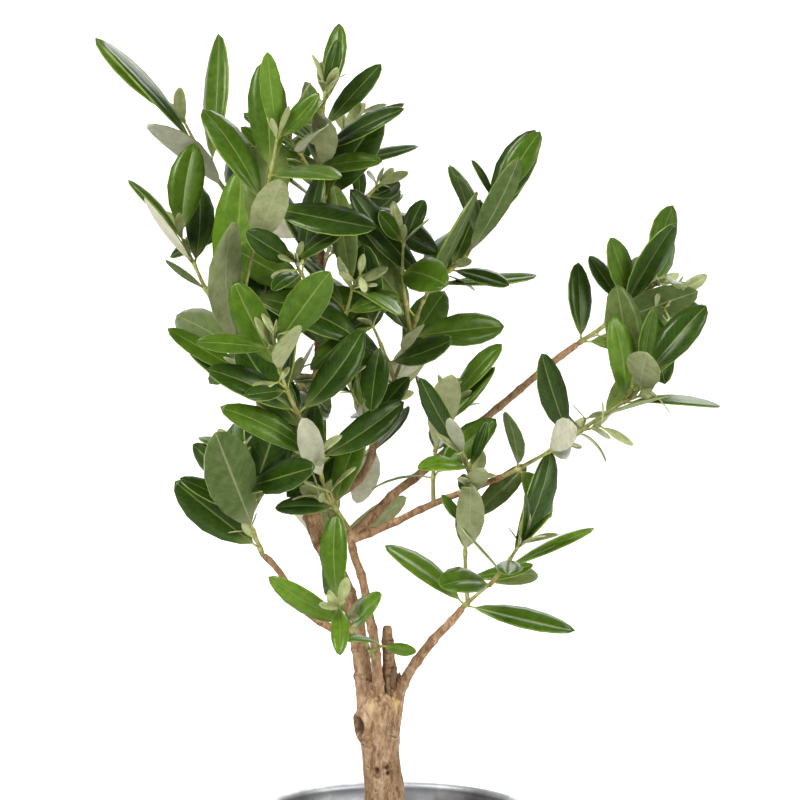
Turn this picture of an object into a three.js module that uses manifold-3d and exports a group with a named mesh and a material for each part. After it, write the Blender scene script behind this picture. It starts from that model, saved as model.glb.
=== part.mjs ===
// A young olive tree in a round sheet-metal pot, in millimetres, +Z up, seen along +Y.
// The origin is the centre of the pot's flat underside.
//
// Limbs and shoots are written as rows of driving values:
//   from, at        the limb it grows from, and the share of that limb's length
//   length          along its own axis
//   lean            degrees from upright to the right, at even steps along it
//   forward         degrees out of the crown's plane towards the front, at even steps
//   radius          of a limb at its root and at its tip
//   aside           how far a bough's root stands from the trunk's axis, to the right and to the front
// A shoot is a twig that carries leaves in opposite pairs, each pair a quarter turn from the last:
//   on              which shoot of its own mass it grows from, counted from 0, the stem
//   leaf            the leaf length at the foot of the shoot
//   first           share where the first pair stands
//   open            its leaves stand out to its end, where another shoot carries on
//   seeds           one for each pair of leaves, the start of that pair's random numbers
import * as THREE from 'three';
import { mergeVertices } from 'three/addons/utils/BufferGeometryUtils.js';
import Module from 'manifold-3d';

const wasm = await Module();
wasm.setup();

// ---- driving values ----

const gap = 0.3; // between neighbouring solids
const sliver = 0.02; // facets thinner than this are merged with their neighbours
const pot = {
  height: 131,
  rimRadius: 71.5,
  footRadius: 53,
  footEdge: 1.5,
  wall: 1.2,
  floor: 2,
  beadRadius: 2.5,
  beadArcs: 6,
  sides: 40,
};
const soil = { depth: 10, edgeDrop: 3, flatRadius: 20, edgeGap: 1.5 };
const stepsAlong = 12; // straight steps in the path of a limb or shoot

const trunk = {
  start: [-6.4, 0],
  length: 77,
  lean: [7, -8, 1, 6],
  forward: [0, 0],
  radius: [9.9, 9.9, 12.3],
  flare: 2.6,
  domeShare: 0.86, // where the top starts to close between the boughs
  domeDrop: 0.93,
  sides: 14,
  steps: 14,
};

// Boughs, from the thickest up.
const boughs = {
  leader: {
    from: 'trunk', at: 0.85, length: 117, radius: [4.6, 4.3],
    lean: [-7, -9, -30, -9], forward: [-2, -1], aside: [-7.6, -1.5],
  },
  frontBough: {
    from: 'trunk', at: 0.89, length: 95, radius: [2.8, 2.0],
    lean: [-1, -8, -14, -12], forward: [6, 8], aside: [-1.2, 4.5],
  },
  stub: {
    from: 'trunk', at: 0.86, length: 42, radius: [4.3, 2.6],
    lean: [2, -3, -1], forward: [5, 2], aside: [4.4, 0.5],
  },
  lowRightBough: {
    from: 'trunk', at: 0.86, length: 69, radius: [3.2, 1.9],
    lean: [14, 30, 43, 36], forward: [16, 18], aside: [8.4, 2],
  },
  leftLowBough: {
    from: 'leader', at: 0.29, length: 72, radius: [2.1, 1.6],
    lean: [-65, -59, -23, -50], forward: [3, 12],
  },
  bigRightBough: {
    from: 'frontBough', at: 0.95, length: 163, radius: [2.4, 1.8],
    lean: [45, 51, 51, 54], forward: [-15, -14],
  },
  midRightBough: {
    from: 'frontBough', at: 0.94, length: 90, radius: [2.1, 1.5],
    lean: [73, 60, 68, 67], forward: [7, 20],
  },
  upperLeader: {
    from: 'leader', at: 0.98, length: 142, radius: [2.2, 1.7],
    lean: [9, 1, 2, 2], forward: [-6, -2],
  },
  innerBough: {
    from: 'leader', at: 0.97, length: 70, radius: [2.4, 1.9],
    lean: [89, 54, 11, 24], forward: [-11, -20],
  },
  leftBough: {
    from: 'leader', at: 0.98, length: 71, radius: [2.1, 1.6],
    lean: [-44, -21, -10], forward: [12, 9],
  },
  backBough: {
    from: 'upperLeader', at: 0.66, length: 49, radius: [1.7, 1.3],
    lean: [-58, -41, -29], forward: [-25, -30],
  },
  sideBough: {
    from: 'upperLeader', at: 0.96, length: 23, radius: [2.0, 1.6],
    lean: [38, 53], forward: [-27, -21],
  },
};

// Each mass of foliage: its first shoot is the stem, and the others grow from it or each other.
const foliage = {
  lowFront: [
    {
      from: 'trunk', at: 1, length: 76, lean: [-10, -37, -15], forward: [28, 59],
      leaf: 40, first: 0.7, seeds: [1490, 8169],
    },
    {
      on: 0, at: 0.33, length: 22, lean: [46, 57], forward: [92, 38],
      leaf: 21, seeds: [6057],
    },
  ],
  lowLeft: [
    {
      from: 'leftLowBough', at: 1, length: 24, lean: [-19, -22], forward: [2, 15],
      leaf: 54, first: 0.15, open: true, seeds: [5998, 3928, 3203],
    },
    {
      on: 0, at: 1, length: 30, lean: [-2, -8, -11], forward: [19, 18],
      leaf: 38, seeds: [7534, 3746],
    },
    {
      on: 0, at: 0.88, length: 31, lean: [33, 19], forward: [-28, -33],
      leaf: 34, seeds: [9536, 4844],
    },
  ],
  upperLeft: [
    {
      from: 'leftBough', at: 1, length: 40, lean: [-26, -26], forward: [-8, -4],
      leaf: 56, first: 0.04, open: true, seeds: [2156, 5673, 9206],
    },
    {
      on: 0, at: 1, length: 48, lean: [-37, -24, -27], forward: [-13, -11],
      leaf: 40, seeds: [3243, 5034, 3372],
    },
    {
      on: 0, at: 0.53, length: 58, lean: [6, 11, 16], forward: [19, 17],
      leaf: 46, open: true, seeds: [3184, 8103],
    },
    {
      on: 2, at: 1, length: 58, lean: [12, 14, 9], forward: [12, 12],
      leaf: 44, seeds: [266, 7822, 3718],
    },
  ],
  topLeft: [
    {
      from: 'backBough', at: 1, length: 46, lean: [-35, -24], forward: [-4, -5],
      leaf: 50, open: true, seeds: [5248, 1364],
    },
    {
      on: 0, at: 1, length: 42, lean: [-35, -26], forward: [-1, -3],
      leaf: 60, seeds: [7370, 7681, 4141],
    },
  ],
  topCentre: [
    {
      from: 'upperLeader', at: 1, length: 45, lean: [0, 1], forward: [5, 8],
      leaf: 44, open: true, seeds: [4678, 3650, 4599],
    },
    {
      on: 0, at: 1, length: 32, lean: [-1, 8], forward: [12, 14],
      leaf: 44, seeds: [4638, 6356, 6879],
    },
    {
      on: 0, at: 0.54, length: 37, lean: [23, 22, 14], forward: [-30, -29],
      leaf: 42, seeds: [7751, 2523, 2408],
    },
    {
      on: 0, at: 0.51, length: 37, lean: [-28, -30, -34], forward: [28, 32],
      leaf: 40, seeds: [2694, 2726, 542],
    },
  ],
  topRight: [
    {
      from: 'sideBough', at: 1, length: 26, lean: [42, 40], forward: [-29, -35],
      leaf: 38, seeds: [3899, 8194, 1362],
    },
  ],
  centreRight: [
    {
      from: 'innerBough', at: 1, length: 44, lean: [18, 20, 20], forward: [7, 0],
      leaf: 42, open: true, seeds: [2215, 3607, 894],
    },
    {
      on: 0, at: 1, length: 30, lean: [16, 27], forward: [4, -2],
      leaf: 54, open: true, seeds: [6633, 3928, 502],
    },
    {
      on: 1, at: 1, length: 36, lean: [57, 51, 13], forward: [3, 3],
      leaf: 46, open: true, seeds: [9497, 4214, 7261],
    },
    {
      on: 2, at: 1, length: 21, lean: [42, 21], forward: [9, 15],
      leaf: 40, first: 0.25, seeds: [4021, 1206, 8175],
    },
    {
      on: 0, at: 1, length: 54, lean: [-12, -6, 7], forward: [19, 17],
      leaf: 46, seeds: [2630, 4230, 4094],
    },
    {
      on: 0, at: 0.41, length: 39, lean: [-18, -24], forward: [31, 35],
      leaf: 42, seeds: [2551, 9772, 9519],
    },
  ],
  farRight: [
    {
      from: 'bigRightBough', at: 1, length: 29, lean: [55, 58], forward: [-6, -5],
      leaf: 42, first: 0.06, open: true, seeds: [1296, 1186, 7590],
    },
    {
      on: 0, at: 1, length: 24, lean: [43, 52], forward: [-10, -8],
      leaf: 46, seeds: [5245, 6183, 9896],
    },
    {
      on: 0, at: 0.98, length: 34, lean: [70, 59], forward: [25, 25],
      leaf: 46, seeds: [199, 8329],
    },
    {
      on: 0, at: 0.71, length: 35, lean: [40, 3], forward: [-38, -42],
      leaf: 34, seeds: [5245, 8676],
    },
  ],
  midRight: [
    {
      from: 'midRightBough', at: 1, length: 41, lean: [64, 55], forward: [-4, 16],
      leaf: 40, first: 0.2, open: true, seeds: [806, 2212, 2332],
    },
    {
      on: 0, at: 1, length: 33, lean: [52, 59], forward: [4, 9],
      leaf: 38, first: 0.15, open: true, seeds: [6243, 4375, 9229],
    },
    {
      on: 1, at: 1, length: 16, lean: [56, 20], forward: [12, 14],
      leaf: 42, first: 0.3, seeds: [203, 1395, 6957],
    },
  ],
  midSide: [
    {
      from: 'midRightBough', at: 0.54, length: 28, lean: [-4, 8], forward: [-12, -14],
      leaf: 32, open: true, seeds: [952, 2983],
    },
    {
      on: 0, at: 1, length: 26, lean: [13, 20], forward: [-21, -24],
      leaf: 38, seeds: [4408, 533],
    },
  ],
  midFront: [
    {
      from: 'midRightBough', at: 0.81, length: 24, lean: [-14, -27], forward: [32, 33],
      leaf: 40, seeds: [4268, 9943],
    },
  ],
  lowRight: [
    {
      from: 'lowRightBough', at: 1, length: 21, lean: [46, 48], forward: [17, 34],
      leaf: 54, first: 0.06, open: true, seeds: [6984, 704],
    },
    {
      on: 0, at: 1, length: 29, lean: [37, 30], forward: [23, 29],
      leaf: 46, seeds: [3202, 4888, 5286],
    },
    {
      on: 0, at: 0.15, length: 57, lean: [-6, 0, 3], forward: [6, 8],
      leaf: 34, seeds: [2265, 1878, 5441, 9012],
    },
  ],
  frontLeft: [
    {
      from: 'frontBough', at: 1, length: 32, lean: [-30, -34, -11], forward: [16, 14],
      leaf: 34, first: 0.4, open: true, seeds: [471, 8060],
    },
    {
      on: 0, at: 1, length: 40, lean: [-8, -23, -22], forward: [20, 18],
      leaf: 44, open: true, seeds: [6742, 3693, 4510],
    },
    {
      on: 1, at: 1, length: 40, lean: [-27, -18, -12], forward: [24, 26],
      leaf: 42, seeds: [6584, 3086, 1034],
    },
  ],
  innerLeft: [
    {
      from: 'leftBough', at: 0.63, length: 32, lean: [20, 30], forward: [-25, -34],
      leaf: 42, seeds: [2888, 1925, 492],
    },
  ],
  innerRight: [
    {
      from: 'innerBough', at: 0.7, length: 44, lean: [-11, -26], forward: [41, 40],
      leaf: 44, seeds: [9321, 2517, 8644],
    },
  ],
  innerTop: [
    {
      from: 'upperLeader', at: 0.48, length: 25, lean: [31, 28], forward: [19, 30],
      leaf: 44, open: true, seeds: [1968, 5392],
    },
    {
      on: 0, at: 1, length: 30, lean: [24, 10], forward: [26, 32],
      leaf: 44, seeds: [4577, 2670],
    },
  ],
  innerFront: [
    {
      from: 'upperLeader', at: 0.75, length: 43, lean: [-36, -21], forward: [54, 57],
      leaf: 42, seeds: [8247, 9149, 3179],
    },
  ],
  rearLeft: [
    {
      from: 'upperLeader', at: 0.37, length: 89, lean: [-55, -44, -34], forward: [-63, -62],
      leaf: 44, seeds: [5576, 4883, 3397, 2544, 2865],
    },
  ],
  rearRight: [
    {
      from: 'innerBough', at: 0.52, length: 86, lean: [26, 2, 20], forward: [-70, -65],
      leaf: 44, seeds: [2561, 4576, 6340, 9060, 8917],
    },
  ],
  rearTop: [
    {
      from: 'upperLeader', at: 0.82, length: 77, lean: [11, 14, 10], forward: [-67, -68],
      leaf: 44, seeds: [6229, 5136, 5397, 1364, 8404],
    },
  ],
  rearLow: [
    {
      from: 'leader', at: 0.68, length: 81, lean: [20, -21, -9], forward: [-69, -65],
      leaf: 42, seeds: [3341, 2499, 8188, 3708],
    },
  ],
};

const twig = { radius: [1.1, 0.8], steps: 5, sides: 3 };
const bough = { collar: 0.3, steps: 8, sides: 7 };

// The seeded rule for the leaves. Jitters are the most that a value may move either way.
const growth = {
  placeJitter: 0.05,
  turnJitter: 40,
  spreadLow: 60,
  spreadHigh: 32,
  spreadJitter: 28,
  openAge: 0.4, // how far an open shoot goes towards its spreadHigh and youngSize
  youngSize: 0.9,
  sizeJitter: 0.38,
  widthShare: 0.31,
  widthJitter: 0.24,
  lift: 1,
  rollJitter: 50,
  bendMean: 12,
  bendJitter: 30,
};
const lightFrom = new THREE.Vector3(0, -0.82, 0.57);
const leafSolid = { rootHalfWidth: 0.45, rootThick: 0.6, thick: 1, steps: 3 };

// A leaf is skipped where it comes this near to another leaf or a limb, or leaves the space of
// its mass, which is all that lies within reach of the mass's own shoots.
const clearance = { otherMass: 3.4, sameMass: 2.6, limb: 1, reach: 80 };
const leafStalk = 0.09; // share of a leaf's length
const bladeAcross = [-1, -0.5, 0, 0.5, 1];
const bladeAlong = 10;
const bladeRoot = 2; // of those, the ones nearest the root may touch its own mass and limb
const axisSamples = 40;

const colours = {
  pot: { color: 0xaeb0b2, roughness: 0.42, metalness: 0.85 },
  soil: { color: 0x3a2c22, roughness: 1, metalness: 0 },
  trunk: { color: 0xa08468, roughness: 0.9, metalness: 0 },
  bough: { color: 0x8c6a55, roughness: 0.85, metalness: 0 },
  foliage: { color: 0x2f5a26, roughness: 0.5, metalness: 0 },
};

// ---- small tools ----

const degrees = Math.PI / 180;

/** A row of random numbers from 0 to 1 that is the same for the same seed. */
function makeRandom(seed) {
  const turnOver = 4294967296;
  let state = (seed * 2654435761) % turnOver;
  const draw = () => {
    state = (state * 1664525 + 1013904223) % turnOver;
    return state / turnOver;
  };
  draw();
  draw();
  return draw;
}

/** Value of a row of even steps at a share of its length. */
function valueAt(values, share) {
  const place = share * (values.length - 1);
  const low = Math.min(Math.floor(place), values.length - 2);
  return values[low] + (values[low + 1] - values[low]) * (place - low);
}

/** Points of a path that leaves start and turns evenly from one lean and forward to the next. */
function makePath(start, row) {
  const points = [start.clone()];
  for (let step = 0; step < stepsAlong; step += 1) {
    const share = (step + 0.5) / stepsAlong;
    const lean = valueAt(row.lean, share) * degrees;
    const forward = valueAt(row.forward, share) * degrees;
    const heading = new THREE.Vector3(
      Math.sin(lean) * Math.cos(forward),
      -Math.sin(forward),
      Math.cos(lean) * Math.cos(forward),
    );
    points.push(points[step].clone().addScaledVector(heading, row.length / stepsAlong));
  }
  return points;
}

function pointAt(points, share) {
  const place = share * (points.length - 1);
  const low = Math.min(Math.floor(place), points.length - 2);
  return points[low].clone().lerp(points[low + 1], place - low);
}

function directionAt(points, share) {
  const low = Math.min(Math.floor(share * (points.length - 1)), points.length - 2);
  return points[low + 1].clone().sub(points[low]).normalize();
}

/** The two directions square to a path: to the right, and towards the front. */
function sidesOf(direction) {
  const across = new THREE.Vector3(0, 1, 0).cross(direction).normalize();
  const toward = across.clone().cross(direction);
  return { across, toward };
}

/** Turns a closed geometry into a solid that can be joined and cut. */
function toSolid(geometry) {
  geometry.deleteAttribute('normal');
  geometry.deleteAttribute('uv');
  const merged = mergeVertices(geometry, 1e-4);
  return new wasm.Manifold(new wasm.Mesh({
    numProp: 3,
    vertProperties: new Float32Array(merged.attributes.position.array),
    triVerts: new Uint32Array(merged.index.array),
  }));
}

function toGeometry(solid) {
  const mesh = solid.simplify(sliver).getMesh();
  const geometry = new THREE.BufferGeometry();
  geometry.setAttribute('position', new THREE.BufferAttribute(mesh.vertProperties, mesh.numProp));
  geometry.setIndex(new THREE.BufferAttribute(mesh.triVerts, 1));
  return geometry;
}

/** The largest body of a solid: loose scraps are dropped and sealed hollows are filled. */
function mainBody(solid) {
  const bodies = solid.decompose();
  return bodies.reduce((best, body) => (body.volume() > best.volume() ? body : best));
}

/** Moves each vertex of a geometry whose height runs from -0.5 to 0.5 by place(x, share, z). */
function bend(geometry, place) {
  const position = geometry.attributes.position;
  for (let i = 0; i < position.count; i += 1) {
    const moved = place(position.getX(i), position.getY(i) + 0.5, position.getZ(i));
    position.setXYZ(i, moved.x, moved.y, moved.z);
  }
  return geometry;
}

/** A solid limb: a cylinder bent along a path, with its radius given along it. */
function limbSolid(points, radiusAt, sides, steps) {
  const cylinder = new THREE.CylinderGeometry(1, 1, 1, sides, steps);
  return toSolid(bend(cylinder, (x, share, z) => {
    const before = directionAt(points, Math.max(share - 0.001, 0));
    const heading = directionAt(points, Math.min(share + 0.001, 1)).add(before).normalize();
    const { across, toward } = sidesOf(heading);
    const radius = radiusAt(share);
    return pointAt(points, share)
      .addScaledVector(across, x * radius)
      .addScaledVector(toward, z * radius);
  }));
}

// ---- pot and soil ----

const wallBottom = pot.footRadius;
const wallTop = pot.rimRadius - pot.beadRadius;
const beadHeight = pot.height - pot.beadRadius;
const soilTop = pot.height - soil.depth - gap;

/** Outer radius of the pot's wall at a height above its foot. */
function wallRadius(height) {
  return wallBottom + (wallTop - wallBottom) * (height / beadHeight);
}

function makePot() {
  const wallLean = Math.atan2(beadHeight, wallTop - wallBottom);
  const innerRadius = (height) => wallRadius(height) - pot.wall / Math.sin(wallLean);
  const profile = [
    new THREE.Vector2(0, 0),
    new THREE.Vector2(pot.footRadius - pot.footEdge, 0),
    new THREE.Vector2(wallRadius(pot.footEdge), pot.footEdge),
  ];
  // The rolled bead starts under the rim outside and ends on the wall inside.
  const beadStart = -75 * degrees;
  const beadEnd = 215 * degrees;
  for (let arc = 0; arc <= pot.beadArcs; arc += 1) {
    const turn = beadStart + (beadEnd - beadStart) * (arc / pot.beadArcs);
    profile.push(new THREE.Vector2(
      wallTop + pot.beadRadius * Math.cos(turn),
      beadHeight + pot.beadRadius * Math.sin(turn),
    ));
  }
  const underBead = beadHeight - 2 * pot.beadRadius;
  profile.push(new THREE.Vector2(innerRadius(underBead), underBead));
  profile.push(new THREE.Vector2(innerRadius(pot.floor), pot.floor));
  profile.push(new THREE.Vector2(0, pot.floor));
  return toGeometry(toSolid(turnUpright(new THREE.LatheGeometry(profile, pot.sides))));
}

function makeSoil() {
  const bottom = pot.floor + gap;
  const edgeHeight = soilTop - soil.edgeDrop;
  const inset = 2 * pot.wall;
  const profile = [
    new THREE.Vector2(0, bottom),
    new THREE.Vector2(wallRadius(bottom) - inset, bottom),
    new THREE.Vector2(wallRadius(edgeHeight) - inset, edgeHeight),
    new THREE.Vector2(wallRadius(edgeHeight) - inset - soil.edgeGap, edgeHeight + soil.edgeGap),
    new THREE.Vector2(soil.flatRadius, soilTop),
    new THREE.Vector2(0, soilTop),
  ];
  return toGeometry(toSolid(turnUpright(new THREE.LatheGeometry(profile, pot.sides))));
}

/** Lathe profiles turn about Y, and the model stands on Z. */
function turnUpright(geometry) {
  return geometry.rotateX(90 * degrees);
}

// ---- trunk and boughs ----

const limbs = {}; // name to { points, radius, radiusAt, sides, steps }

function addTrunk() {
  const ground = new THREE.Vector3(trunk.start[0], trunk.start[1], pot.height - soil.depth);
  const points = makePath(ground, trunk);
  const radiusAt = (share) => {
    const flare = trunk.flare * (1 - share) ** 5;
    const overDome = Math.max(share - trunk.domeShare, 0) / (1 - trunk.domeShare);
    return (valueAt(trunk.radius, share) + flare) * Math.sqrt(1 - trunk.domeDrop * overDome ** 2);
  };
  limbs.trunk = { points, radius: trunk.radius, radiusAt, sides: trunk.sides, steps: trunk.steps };
}

function addBough(name, row) {
  const start = pointAt(limbs[row.from].points, row.at);
  const [right, front] = row.aside ?? [0, 0];
  start.add(new THREE.Vector3(right, -front, 0));
  const points = makePath(start, row);
  const collar = row.radius[0] * bough.collar;
  const radiusAt = (share) => valueAt(row.radius, share) + collar * (1 - share) ** 10;
  limbs[name] = { points, radius: row.radius, radiusAt, sides: bough.sides, steps: bough.steps };
}

/** The same limb, larger all round by the gap and carried past its tip by the gap. */
function fattened(name) {
  const { points, radiusAt, sides, steps } = limbs[name];
  const last = points.length - 1;
  const longer = points.map((point) => point.clone());
  longer[last].addScaledVector(directionAt(points, 1), gap);
  const roundness = 1 / Math.cos(Math.PI / sides);
  return limbSolid(longer, (share) => (radiusAt(share) + gap) * roundness, sides, steps);
}

function trunkSolid() {
  const { points, radiusAt, sides, steps } = limbs.trunk;
  const groundHeight = points[0].z;
  const lower = points.map((point) => point.clone());
  lower[0].z -= trunk.flare;
  const below = new THREE.BoxGeometry(pot.rimRadius, pot.rimRadius, pot.rimRadius);
  below.translate(points[0].x, points[0].y, groundHeight - pot.rimRadius / 2);
  return mainBody(limbSolid(lower, radiusAt, sides, steps).subtract(toSolid(below)));
}

/** Cuts a solid clear of every limb that was made before it. */
function cutClear(solid, names) {
  return mainBody(names.reduce((left, name) => left.subtract(fattened(name)), solid));
}

function boughSolid(name) {
  const { points, radiusAt, sides, steps } = limbs[name];
  const earlier = Object.keys(limbs).filter((other) => other !== name);
  return cutClear(limbSolid(points, radiusAt, sides, steps), earlier);
}

// ---- leaves ----

/** Half width of a leaf: 0 along its stalk and at its tip, and 1 at its widest. */
function outlineAt(share) {
  const blade = Math.max((share - leafStalk) / (1 - leafStalk), 0);
  return Math.sin(Math.PI * Math.min(blade, 1) ** 1.15) ** 0.75;
}

/** Point on a leaf's midrib, which bends evenly away from the blade's upper side. */
function midribAt(leaf, share) {
  const turned = leaf.bend * share;
  const out = Math.abs(leaf.bend) < 1e-4 ? share : Math.sin(turned) / leaf.bend;
  const down = Math.abs(leaf.bend) < 1e-4 ? 0 : (1 - Math.cos(turned)) / leaf.bend;
  return leaf.root.clone()
    .addScaledVector(leaf.out, leaf.length * out)
    .addScaledVector(leaf.upper, -leaf.length * down);
}

/** The leaves that the seeded rule gives a shoot, before any is skipped. */
function growLeaves(points, row) {
  const leaves = [];
  for (const [pair, seed] of row.seeds.entries()) {
    const draw = makeRandom(seed);
    const step = pair / Math.max(row.seeds.length - 1, 1);
    const age = row.open ? step * growth.openAge : step;
    const first = row.first ?? 1 / row.seeds.length;
    const jitter = (draw() - 0.5) * 2 * growth.placeJitter;
    const share = Math.min(Math.max(first + (1 - first) * step + jitter, 0.06), 0.985);
    const heading = directionAt(points, share);
    const { across, toward } = sidesOf(heading);
    const turn = (90 * pair + (draw() - 0.5) * 2 * growth.turnJitter) * degrees;
    const sideways = across.multiplyScalar(Math.cos(turn)).addScaledVector(toward, Math.sin(turn));
    for (const sign of [1, -1]) {
      const [spreadBy, sizeBy, widthBy, rollBy, bendBy] = [1, 2, 3, 4, 5].map(() => 2 * (draw() - 0.5));
      const spreadMean = growth.spreadLow + (growth.spreadHigh - growth.spreadLow) * age;
      const spread = (spreadMean + spreadBy * growth.spreadJitter) * degrees;
      const young = 1 + (growth.youngSize - 1) * age ** 2;
      const length = row.leaf * young * (1 + sizeBy * growth.sizeJitter);
      const out = heading.clone().multiplyScalar(Math.cos(spread))
        .addScaledVector(sideways, sign * Math.sin(spread));
      const upper = heading.clone().multiplyScalar(Math.sin(spread))
        .addScaledVector(sideways, -sign * Math.cos(spread))
        .addScaledVector(lightFrom, growth.lift);
      upper.addScaledVector(out, -upper.dot(out)).normalize();
      const edge = out.clone().cross(upper);
      const roll = rollBy * growth.rollJitter * degrees;
      upper.multiplyScalar(Math.cos(roll)).addScaledVector(edge, Math.sin(roll));
      leaves.push({
        root: pointAt(points, share),
        out,
        upper,
        edge: out.clone().cross(upper),
        length,
        width: length * growth.widthShare * (1 + widthBy * growth.widthJitter),
        bend: (growth.bendMean + bendBy * growth.bendJitter) * degrees,
      });
    }
  }
  return leaves;
}

/** Points all over a leaf, in steps from its root, that stand for it where it might touch. */
function leafPoints(leaf) {
  const points = [];
  for (let step = 0; step < bladeAlong; step += 1) {
    const share = (step + 0.5) / bladeAlong;
    for (const across of bladeAcross) {
      const side = across * 0.5 * leaf.width * outlineAt(share);
      points.push(midribAt(leaf, share).addScaledVector(leaf.edge, side));
    }
  }
  return points;
}

function anyNearer(points, others, distance) {
  const limit = distance * distance;
  return others.some((other) => points.some((point) => point.distanceToSquared(other) < limit));
}

/** Points along the axis of every limb and shoot, each with the radius there. */
function axisPoints(points, radius) {
  return Array.from({ length: axisSamples }, (_, i) => {
    const share = i / (axisSamples - 1);
    return { point: pointAt(points, share), radius: valueAt(radius, share) };
  });
}

function leafSolidOf(leaf) {
  const rim = Math.sin(60 * degrees);
  const cone = new THREE.ConeGeometry(1, 1, 3, leafSolid.steps, false, Math.PI);
  return toSolid(bend(cone, (x, share, z) => {
    const taper = 1 - share;
    const radius = Math.max(taper, 1e-6);
    const halfWidth = share === 0
      ? leafSolid.rootHalfWidth
      : 0.5 * leaf.width * outlineAt(share);
    const thick = share === 0 ? leafSolid.rootThick : leafSolid.thick;
    const side = share === 1 ? 0 : (x / radius / rim) * halfWidth;
    const keel = share === 1 ? 0 : ((z / radius - 0.5) / 1.5) * thick + thick / 2;
    return midribAt(leaf, share)
      .addScaledVector(leaf.edge, side)
      .addScaledVector(leaf.upper, keel);
  }));
}

/** Whether any of the points comes within limb clearance of one of these axes. */
function touchesAxis(points, axes) {
  return axes.some(({ point, radius }) => anyNearer(points, [point], radius + clearance.limb));
}

/** Grows every mass in turn, keeping the leaves that stand clear of all that grew before. */
function growFoliage() {
  const limbAxes = Object.values(limbs).flatMap(({ points, radius }) => axisPoints(points, radius));
  const masses = Object.entries(foliage).map(([name, rows]) => {
    const shoots = [];
    for (const row of rows) {
      const parent = row.from ? limbs[row.from] : shoots[row.on];
      shoots.push({ row, points: makePath(pointAt(parent.points, row.at), row) });
    }
    const axes = shoots.flatMap(({ points }) => axisPoints(points, twig.radius));
    const grown = axes.map(({ point }) => point);
    return { name, shoots, axes, grown, blades: [] };
  });
  for (const mass of masses) {
    const others = masses.filter((other) => other !== mass);
    const isClear = (leaf) => {
      const whole = leafPoints(leaf);
      const blade = whole.slice(bladeRoot * bladeAcross.length);
      const tip = midribAt(leaf, 1);
      return mass.axes.some(({ point }) => point.distanceTo(tip) < clearance.reach)
        && !others.some(({ grown }) => anyNearer(whole, grown, clearance.otherMass))
        && !anyNearer(blade, mass.blades, clearance.sameMass)
        && !touchesAxis(blade, mass.axes)
        && !touchesAxis(blade, limbAxes);
    };
    for (const shoot of mass.shoots) {
      shoot.leaves = [];
      for (const leaf of growLeaves(shoot.points, shoot.row)) {
        if (isClear(leaf)) {
          const whole = leafPoints(leaf);
          shoot.leaves.push(leaf);
          mass.grown.push(...whole);
          mass.blades.push(...whole.slice(bladeRoot * bladeAcross.length));
        }
      }
    }
  }
  return masses;
}

/** One mass as one body: its twigs and leaves fused, cut clear of the limbs. */
function massSolid(mass) {
  let fused = null;
  for (const { points, leaves } of mass.shoots) {
    const radiusAt = (share) => valueAt(twig.radius, share);
    const stem = limbSolid(points, radiusAt, twig.sides, twig.steps);
    fused = fused ? fused.add(stem) : stem;
    for (const leaf of leaves) {
      fused = fused.add(leafSolidOf(leaf));
    }
  }
  return cutClear(fused, Object.keys(limbs));
}

// ---- assembly ----

const tree = new THREE.Group();

function addMesh(name, geometry, look) {
  const mesh = new THREE.Mesh(geometry, new THREE.MeshStandardMaterial(look));
  mesh.name = name;
  tree.add(mesh);
}

addMesh('pot', makePot(), colours.pot);
addMesh('soil', makeSoil(), colours.soil);
addTrunk();
addMesh('trunk', toGeometry(trunkSolid()), colours.trunk);
for (const [name, row] of Object.entries(boughs)) {
  addBough(name, row);
  addMesh(name, toGeometry(boughSolid(name)), colours.bough);
}
for (const mass of growFoliage()) {
  addMesh(`foliage_${mass.name}`, toGeometry(massSolid(mass)), colours.foliage);
}

export default tree;
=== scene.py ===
import bpy
import numpy as np
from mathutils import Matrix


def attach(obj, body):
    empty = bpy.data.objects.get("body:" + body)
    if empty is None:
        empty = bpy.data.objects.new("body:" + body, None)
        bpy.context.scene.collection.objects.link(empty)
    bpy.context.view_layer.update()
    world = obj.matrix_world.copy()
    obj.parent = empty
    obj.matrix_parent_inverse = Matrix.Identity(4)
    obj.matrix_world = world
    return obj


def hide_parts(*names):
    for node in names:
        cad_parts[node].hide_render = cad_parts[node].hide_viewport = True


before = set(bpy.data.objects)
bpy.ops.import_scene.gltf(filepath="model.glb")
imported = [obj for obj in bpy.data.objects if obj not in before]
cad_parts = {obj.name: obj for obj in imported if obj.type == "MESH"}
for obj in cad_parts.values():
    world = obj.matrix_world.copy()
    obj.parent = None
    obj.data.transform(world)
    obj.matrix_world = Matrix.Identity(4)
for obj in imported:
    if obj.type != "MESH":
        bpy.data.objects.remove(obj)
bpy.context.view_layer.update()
mm = 0.001  # the rows below are in millimetres, and the meshes in metres
rad = np.pi / 180

cameraRow = {
    "target": (2.67, 0, 349.07),
    "distance": 1600,
    "tilt": 3.9,  # degrees that it looks down
    "lens": 135.86,
    "sensor": 36,
}
stageRow = {
    "front": -12,  # metres, as all lengths of the stage are
    "floorDepth": 3,
    "bend": 1.2,
    "steps": 24,  # of the bend
    "wallHeight": 4,
    "width": 14,
    "shade": 0.8,
    "glow": 0.24,  # as a lit paper sweep, pale on every side
}
skyRow = {"colour": (1.0, 1.0, 1.0), "strength": 0.31}
lampRows = {
    # place and aim in metres, side of the square lamp in metres, and power in watts
    "keyLamp": {"place": (-1.5, -1.3, 1.9), "aim": (0, 0, 0.35), "side": 0.8, "power": 60},
    "fillLamp": {"place": (1.9, -1.5, 1.1), "aim": (0, 0, 0.35), "side": 1.2, "power": 43},
    "backLamp": {"place": (0.6, 1.5, 1.9), "aim": (0, 0, 0.4), "side": 1.2, "power": 18},
    "wallLamp": {"place": (0, 0.9, 2.6), "aim": (0, 4.2, 1.6), "side": 2.4, "power": 150},
}


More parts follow.
